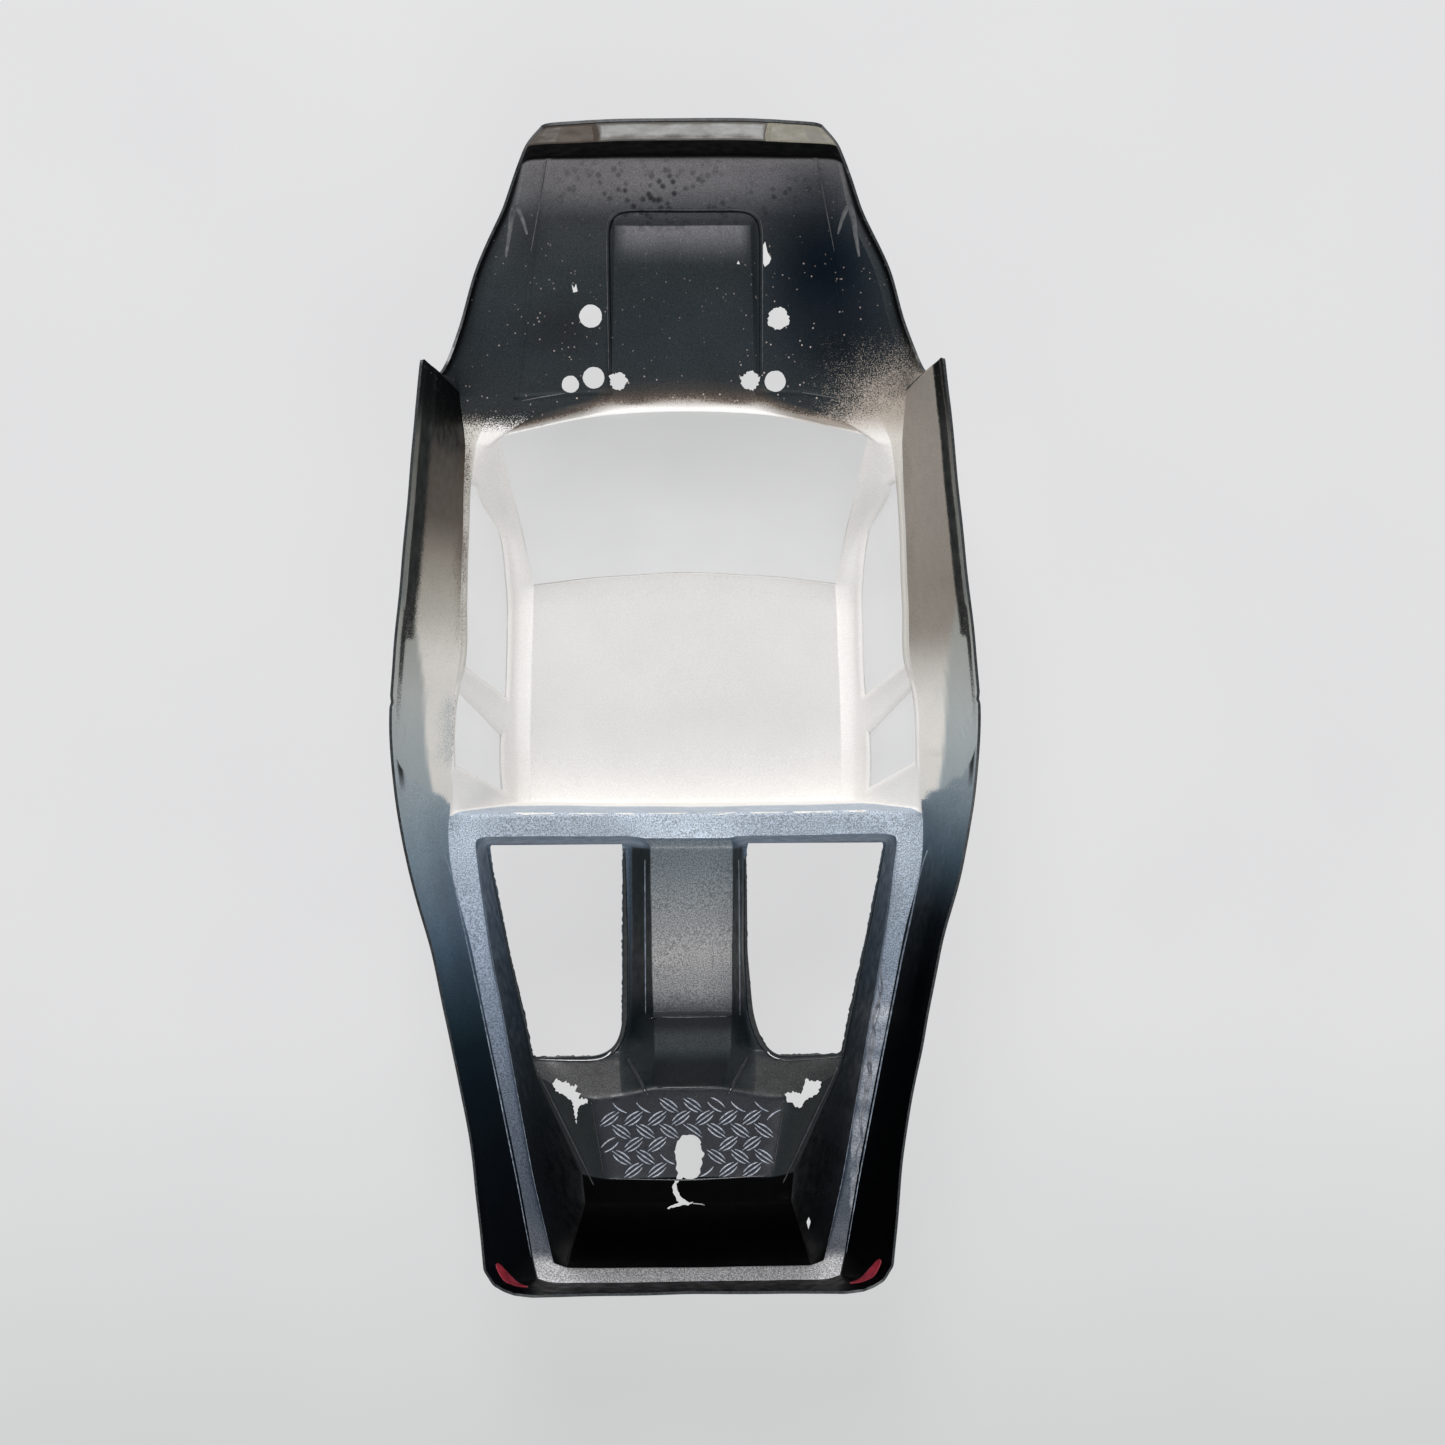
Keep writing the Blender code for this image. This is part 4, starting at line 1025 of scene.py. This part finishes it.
paint_inside = sprayed("paint_inside", True, 0.03)
bed_paint_inside = sprayed("bed_paint_inside", True, 0.34, 0.40, 0.26)
paint_outside = sprayed("paint_outside", False)
edge = plain("cut_edge", ((52, 56, 58), (20, 22, 24)), 0.32, scale=900, grain=0)
window_sheet = clear_sheet()
nose_sheet = sticker_paper()
red_vinyl = plain("red_vinyl", ((152, 44, 58), (120, 30, 44)), 0.35, scale=260, grain_scale=600)
lip_paint = plain("lip_paint", ((14, 17, 19), (34, 38, 41)), 0.16, 0.8)
# Paler than the paint around it, a painted highlight on the pressed ridges.
ridge_highlight_paint = plain("ridge_highlight_paint", ((70, 74, 78), (98, 98, 100)), 0.4, grain=0)
scoop_shadow_paint = plain("scoop_line", ((12, 14, 16), (24, 27, 30)), 0.6, 0.1)
tread_highlight_paint = plain("tread_highlight_paint", ((122, 128, 140), (178, 183, 192)), 0.22, scale=700, grain=0)
rail_highlight_paint = plain("rail_highlight_paint", ((96, 106, 120), (160, 172, 186)), 0.3, 0.5)
glue_paint = plain("glue", ((92, 96, 104), (150, 152, 158)), 0.22, 0.6, 240)
flake_paint = plain("flake_paint", ((214, 212, 208), (238, 237, 234)), 0.5, 0.3)


def slot_of(name):
    if name.endswith("sticker"):
        return "silver_sticker"
    if name.endswith("_window") or name == "windscreen":
        return "clear_sheet"
    if name in ("roof_panel", "cab_back_wall") or "frame" in name or "door_panel" in name:
        return "white_paint"
    if "bed" in name or "quarter_panel" in name:
        return "blue_grey_paint"
    return "black_paint"


trimmed = {"hood_panel", "left_bed_step", "right_bed_step", "bed_floor", "left_bed_wall",
           "right_bed_wall", "tail_inner_slope", "bed_front_wall", "bed_spine"}
tool = cutters()
for name in sorted(set(zones.ravel()) - {""}):
    piece, found = sheet_mesh(name)
    weight = np.ones(found.shape)
    slot_name = slot_of(name)
    if slot_name == "clear_sheet":
        looks = (window_sheet, window_sheet, window_sheet)
    elif slot_name == "silver_sticker":
        looks = (nose_sheet, nose_sheet, edge)
    elif slot_name == "blue_grey_paint" and "quarter" not in name:
        looks = (bed_paint_inside, paint_outside, edge)
    else:
        looks = (paint_inside, paint_outside, edge)
    for look in looks:
        piece.data.materials.append(look)
    if name in trimmed:
        trim(piece, tool)
        found, weight = nearest_plan(piece.data)
    give_paint(piece.data, found, weight)
    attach(piece, "root")
    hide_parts(name)
bpy.data.objects.remove(tool, do_unlink=True)


# ------------------------------------------------------------------ small added pieces
def inside_surface():
    """The inside face as a tree that a straight line down from above can be tested against."""
    rows, cols = R.shape
    number = np.arange(rows * cols).reshape(rows, cols)
    quads = np.stack([number[:-1, :-1], number[1:, :-1], number[1:, 1:], number[:-1, 1:]], -1)
    return BVHTree.FromPolygons(inside_points.tolist(), quads.reshape(-1, 4).tolist())


surface = inside_surface()


def height(x, y):
    """Height of the uppermost inside surface over a point, in mm."""
    hit = surface.ray_cast((float(x), float(y), 200.0), (0, 0, -1))[0]
    if hit is None:
        hit = surface.find_nearest((float(x), float(y), 60.0))[0]
    return hit.z


def bar(line, wide, tall, steps=6):
    """A raised, rounded bar along a line of points on a zone."""
    line = np.array(line, float)
    away = np.gradient(line, axis=0)
    away /= np.linalg.norm(away, axis=1, keepdims=True)
    across = np.stack([away[:, 1], -away[:, 0]], 1)
    points, faces = [], []
    count = len(line)
    for i, (p, side) in enumerate(zip(line, across)):
        taper = math.sin(math.pi * (0.06 + 0.88 * i / (count - 1))) ** 0.5
        for k in range(steps + 1):
            turn = math.pi * k / steps
            q = p + side * wide / 2 * taper * math.cos(turn)
            points.append((q[0], q[1], height(*q) - 0.12 + (0.12 + tall * taper) * math.sin(turn)))
    ring = steps + 1
    for i in range(count - 1):
        for k in range(steps):
            a = i * ring + k
            faces.append([a, a + 1, a + ring + 1, a + ring])
        faces.append([i * ring + steps, i * ring, (i + 1) * ring, (i + 1) * ring + steps])
    faces.append(list(range(steps, -1, -1)))
    faces.append(list(range((count - 1) * ring, count * ring)))
    return points, faces


def joined(name, solids, look, nodes=(), smooth=True):
    """One piece from a list of (points in mm, faces)."""
    points, faces = [], []
    for some, more in solids:
        start = len(points)
        points += [tuple(p) for p in some]
        faces += [[start + n for n in face] for face in more]
    mesh = bpy.data.meshes.new(name)
    mesh.from_pydata((np.array(points) * 0.001).tolist(), [], faces)
    mesh.polygons.foreach_set("use_smooth", np.full(len(faces), smooth))
    mesh.update()
    mesh.materials.append(look)
    piece = bpy.data.objects.new(name, mesh)
    bpy.context.scene.collection.objects.link(piece)
    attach(piece, "root")
    if nodes:
        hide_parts(*nodes)
    return piece


def inside_outline(x, y, outline):
    hits = 0
    for (ax, ay), (bx, by) in zip(outline, outline[1:] + outline[:1]):
        if (ay > y) != (by > y) and x < ax + (y - ay) * (bx - ax) / (by - ay):
            hits += 1
    return hits % 2 == 1


def smooth_line(corners, count):
    """A smooth line through a few corners, by repeated averaging of a dense one."""
    corners = np.array(corners, float)
    gaps = np.concatenate([[0], np.cumsum(np.linalg.norm(np.diff(corners, axis=0), axis=1))])
    at = np.linspace(0, gaps[-1], count)
    line = np.stack([np.interp(at, gaps, corners[:, k]) for k in range(2)], 1)
    for _ in range(count // 6):
        line[1:-1] = (line[:-2] + 2 * line[1:-1] + line[2:]) / 4
    return line


def mirrored(points, side):
    """Points of the right half, on the given side (-1 is left)."""
    return [(side * x, y) for x, y in points]


# Each fender bulge shows as two soft ridges that meet at a point in front.
fender_bulge = [(64.5, 170.0), (62.0, 184.5), (60.4, 188.5), (58.4, 184.0), (56.6, 178.0)]
hood_shut_line = [(49.0, 203.5), (52.8, 184.5), (55.4, 172.0)]
cowl_seam = [(60.0, 119.0), (50.0, 120.8), (43.8, 121.8)]
ridges = []
for side in (-1, 1):
    ridges.append(bar(smooth_line(mirrored(fender_bulge, side), 40), 2.0, 0.32))
    ridges.append(bar(smooth_line(mirrored(hood_shut_line, side), 30), 0.5, 0.22))
    ridges.append(bar(smooth_line(mirrored(cowl_seam, side), 20), 0.5, 0.22))
scoop_edge = [(-27.6, 130.0), (-27.9, 184.6), (-26.2, 187.0), (-22, 187.4), (22, 187.4),
              (27.4, 187.0), (29.2, 184.4), (29.2, 130.0)]
ridges.append(bar(smooth_line(scoop_edge, 160), 0.45, 0.2))
# The ridges and pressed lines are coloured paler than the paint around them, as painted highlights.
joined("pressed_lines", ridges, ridge_highlight_paint)
# A dark line just inside the scoop edge is a painted shadow.
scoop_shadow_path = [(x * 0.965, y - 0.9) for x, y in scoop_edge]
joined("scoop_shadow_line", [bar(smooth_line(scoop_shadow_path, 160), 0.9, 0.1)], scoop_shadow_paint)


# The chequered plate: lenses of three curved bars, turned the other way in each second row.
pitch_x = 8.3
pitch_y = 4.55
first_row = -133.6
lens_lean = 0.62           # radians
lens_half_length = 4.1
lens_bar_gap = 1.5
plate_end = -160.6


def lens_bar(cx, cy, lean, k):
    """One bar of a lens: k is -1, 0 or 1 across it."""
    reach = lens_half_length * math.sqrt(1 - (k / 1.5) ** 2)
    t = np.linspace(-1, 1, 7)
    a = t * reach
    b = k * lens_bar_gap * (1 - 0.36 * t ** 2)
    return cx + a * math.cos(lean) - b * math.sin(lean), cy + a * math.sin(lean) + b * math.cos(lean)


def on_plate(px, py, cy):
    """Whether a bar lies on the plate, which narrows rearwards, and clear of the damage."""
    half_width = 33.6 - 0.17 * (-131.8 - cy)
    front_edge = -131.9 if abs(px).max() > 13 else -128.6
    if abs(px - 0.4).max() > half_width or py.max() > front_edge or py.min() < plate_end:
        return False
    return not any(inside_outline(x, y, hole) for x, y in zip(px, py)
                   for hole in (floor_hole, left_tear, right_tear))


bars = []
for j in range(-1, 8):
    cy = first_row - pitch_y * j
    for i in range(-6, 7):
        cx = pitch_x * (i + (0.5 if j % 2 else 0.0)) + 1.6
        for k in (-1, 0, 1):
            px, py = lens_bar(cx, cy, lens_lean if j % 2 else -lens_lean, k)
            if on_plate(px, py, cy):
                bars.append(bar(np.stack([px, py + ymove], 1), 0.62, 0.42))
# The bars are coloured paler than the plate, as painted highlights.
joined("tread_pattern", bars, tread_highlight_paint)


def stuck_on(line, wide, middle_z):
    """A thin lens-shaped sticker that follows the wall next to a line of points."""
    steps = 8
    line = np.array(line, float)
    away = np.gradient(line, axis=0)
    away /= np.linalg.norm(away, axis=1, keepdims=True)
    count = len(line)
    layers = []
    for lift in (-0.15, 0.22):
        for i, (p, ahead) in enumerate(zip(line, away)):
            place, normal = surface.find_nearest((p[0], p[1], middle_z))[:2]
            across = normal.cross(Vector((ahead[0], ahead[1], 0))).normalized()
            half_width = wide / 2 * math.sin(math.pi * (0.04 + 0.92 * i / (count - 1))) ** 0.7
            for k in range(steps + 1):
                near = place + across * half_width * (2 * k / steps - 1)
                spot, out = surface.find_nearest(near)[:2]
                inward = out if out.dot(Vector((-p[0], -p[1], 60))) > 0 else -out
                layers.append(spot + inward * lift)
    ring = steps + 1
    total = count * ring
    faces = []
    for i in range(count - 1):
        for k in range(steps):
            a = i * ring + k
            faces.append([a, a + ring, a + ring + 1, a + 1])
            faces.append([total + a, total + a + 1, total + a + ring + 1, total + a + ring])
        for a, b in ((i * ring, (i + 1) * ring), ((i + 1) * ring + steps, i * ring + steps)):
            faces.append([a, total + a, total + b, b])
    for k in range(steps):
        faces.append([k, k + 1, total + k + 1, total + k])
        a = (count - 1) * ring + k
        faces.append([a + 1, a, total + a, total + a + 1])
    return [tuple(p) for p in layers], faces


# Tail light stickers on the inside of each rear corner.
light_line = [(73.4, -195.6), (71.2, -199.8), (66.6, -203.2), (58.6, -205.2)]
for side, word in ((-1, "left"), (1, "right")):
    solid = stuck_on(smooth_line(mirrored(light_line, side), 40), 5.2, 63.0)
    joined(word + "_tail_light_vinyl", [solid], red_vinyl,
           [word + "_tail_light_sticker"])

# Rolled lips along the inner and rear edges of the two openings in the bed.
lips = []
for path in ([(-22.4, -45.0), (-21.9, -80), (-22.2, -108), (-24.6, -115.4), (-30.4, -119.0),
              (-55.6, -119.2)],
             [(21.0, -48.0), (20.6, -82), (22.4, -104), (25.4, -113.6), (30.4, -119.4), (55.4, -119.0)]):
    lips.append(bar(smooth_line([(x, y + ymove) for x, y in path], 90), 2.2, 0.9, 8))
wall_foot = [(71.4, -46.0), (64.2, -81), (58.2, -106), (55.4, -118.5)]
for side in (-1, 1):
    lips.append(bar(smooth_line(mirrored(wall_foot, side), 60), 1.2, 0.5))
joined("opening_lips", lips, lip_paint)

# Pressed edges round the step and the plate.
folds = []
step_edge = [(53.9, -122.8), (44.0, -142.0), (33.4, -162.6)]
plate_side = [(33.8, -132.6), (29.6, -158.6)]
spine_foot = [(21.6, -119.0), (13.8, -130.6)]
for side in (-1, 1):
    folds.append(bar(smooth_line(mirrored(step_edge, side), 40), 1.3, 0.5))
    folds.append(bar(smooth_line(mirrored(plate_side, side), 20), 0.5, 0.35))
    folds.append(bar(smooth_line(mirrored(spine_foot, side), 20), 1.6, 0.8))
folds.append(bar(smooth_line([(-29.6, -159.4), (0, -160.6), (28.6, -159.0)], 30), 0.6, 0.3))
folds.append(bar(smooth_line([(-10.8, -127.8), (12.6, -127.8)], 12), 0.7, 0.5))
folds.append(bar(smooth_line([(-14.0, -107.6), (16.4, -107.6)], 12), 0.8, 0.35))
joined("pressed_folds", folds, lip_paint)

# Fine folds along both edges of each bed rail, and along the spine, coloured pale as painted highlights.
fold_lines = []
for side in (-1, 1):
    for column, wide in ((BELT, 0.5), (SILL, 0.4)):
        line = [cage[n][column if side < 0 else last - column][:2]
                for n in range(row["tub_front"], row["rail_rear"])]
        fold_lines.append(bar(smooth_line(line, 70), wide, 0.16, 4))
for x in (-15.2, 19.0):
    fold_lines.append(bar([(x, y) for y in np.linspace(-50, -106, 30)], 0.5, 0.2, 4))
joined("rail_folds", fold_lines, rail_highlight_paint)

# A dried glue run along the right rail, and scratches on the spine.
strands = ((1.0, 0.30), (0.8, 0.42), (1.1, 0.24), (0.7, 0.50))     # how far and how fast each one sways
scratch_count = 9
glue = []
for strand, (sway, pace) in enumerate(strands):
    y = np.linspace(-86 - 9 * strand, -128 - 15 * strand, 70)
    x = np.interp(y, [-170, -85], [61.6, 73.0]) + sway * np.sin(pace * y + strand)
    glue.append(bar(np.stack([x, y], 1), 0.8, 0.28, 5))
for _ in range(scratch_count):
    x = rng.uniform(8.5, 15.5)
    y = rng.uniform(-92, -76)
    length = rng.uniform(4, 12)
    glue.append(bar([(x + 0.06 * t, y - t) for t in np.linspace(0, length, 12)], 0.22, 0.1, 4))
joined("glue_and_scratches", glue, glue_paint)

# Flakes of white paint along the front edge of the bed, where the masking was peeled off.
flakes = []
place = -64.0
while place < 62:
    length = rng.uniform(5.0, 17.0)
    thick = rng.uniform(0.5, 1.2)
    phase = rng.uniform(0, 6)
    along_it = np.linspace(0.02, 0.98, max(6, int(length / 0.8)))
    belly = np.sin(math.pi * along_it) ** 0.5 * (0.75 + 0.25 * np.sin(along_it * length * 0.6 + phase))
    xs = place + along_it * length
    rim = 0.5 * (xs / 60) ** 2 - 33.35
    outline = list(zip(xs, rim)) + list(zip(xs[::-1], (rim - thick * belly - 0.05)[::-1]))
    n = len(outline)
    points = [(x, y, height(x, y) + rise) for rise in (0.02, 0.14) for x, y in outline]
    faces = [list(range(n)), list(range(n, 2 * n))[::-1]]
    faces += [[(k + 1) % n, k, n + k, n + (k + 1) % n] for k in range(n)]
    flakes.append((points, faces))
    place += length + rng.uniform(0.4, 6.0)
joined("masking_flakes", flakes, flake_paint, smooth=False)


# ------------------------------------------------------------------ floor, light and camera
def floor():
    """The pale table, which glows a little so that it stays bright under the shell."""
    half = 1.6
    below = -0.0006
    corners = [(-half, -half, below), (half, -half, below), (half, half, below), (-half, half, below)]
    mesh = bpy.data.meshes.new("table_top")
    mesh.from_pydata(corners, [], [[0, 1, 2, 3]])
    top = bpy.data.objects.new("table_top", mesh)
    bpy.context.scene.collection.objects.link(top)
    n = Nodes("table_top")
    n.surface("Base Color", n.mix(n.span(n.noise(9, 2.0), 0.35, 0.65), shade(90, 90, 91), shade(94, 94, 94)))
    n.surface("Roughness", 0.75)
    n.surface("Specular IOR Level", 0.1)
    # The glow is dimmer towards the near end, a painted shade.
    glow_painted_shade = n.span(n.node("SeparateXYZ", {0: n.coordinates})["Y"], -0.12, -0.34)
    n.surface("Emission Color", n.mix(glow_painted_shade, shade(226, 226, 227), shade(202, 204, 203)))
    n.surface("Emission Strength", 0.82)
    mesh.materials.append(n.material)


floor()


def lamp(name, place, aim, size, power, tint=(1, 1, 1)):
    light = bpy.data.lights.new(name, "AREA")
    light.shape = "DISK"
    light.size = size
    light.energy = power
    light.color = tint
    holder = bpy.data.objects.new(name, light)
    holder.location = place
    holder.rotation_euler = (Vector(aim) - Vector(place)).to_track_quat("-Z", "Y").to_euler()
    bpy.context.scene.collection.objects.link(holder)


lamp("window_side", (-0.2, 1.25, 1.35), (0, 0.05, 0.03), 0.8, 25)
lamp("fill_side", (0.35, -0.9, 1.5), (0, 0, 0.03), 1.0, 8)
world = bpy.data.worlds.new("studio")
world.use_nodes = True
world.node_tree.nodes["Background"].inputs["Color"].default_value = (0.97, 0.985, 1.0, 1)
world.node_tree.nodes["Background"].inputs["Strength"].default_value = 0.48
bpy.context.scene.world = world
bpy.context.scene.view_settings.view_transform = "Standard"

camera_height = 0.790
side_aim = 0.0145
body_lean = math.radians(0.35)
lens = bpy.data.cameras.new("view_from_above")
lens.lens = 50
lens.sensor_width = 36
camera = bpy.data.objects.new("view_from_above", lens)
camera.location = (0, 0, camera_height)
look = (Vector((side_aim, 0, 0)) - camera.location).normalized()
up = Vector((math.sin(body_lean), math.cos(body_lean), 0))
right = look.cross(up).normalized()
up = right.cross(look)
turn = Matrix((right, up, -look)).transposed()
camera.rotation_euler = turn.to_euler()
bpy.context.scene.collection.objects.link(camera)
bpy.context.scene.camera = camera
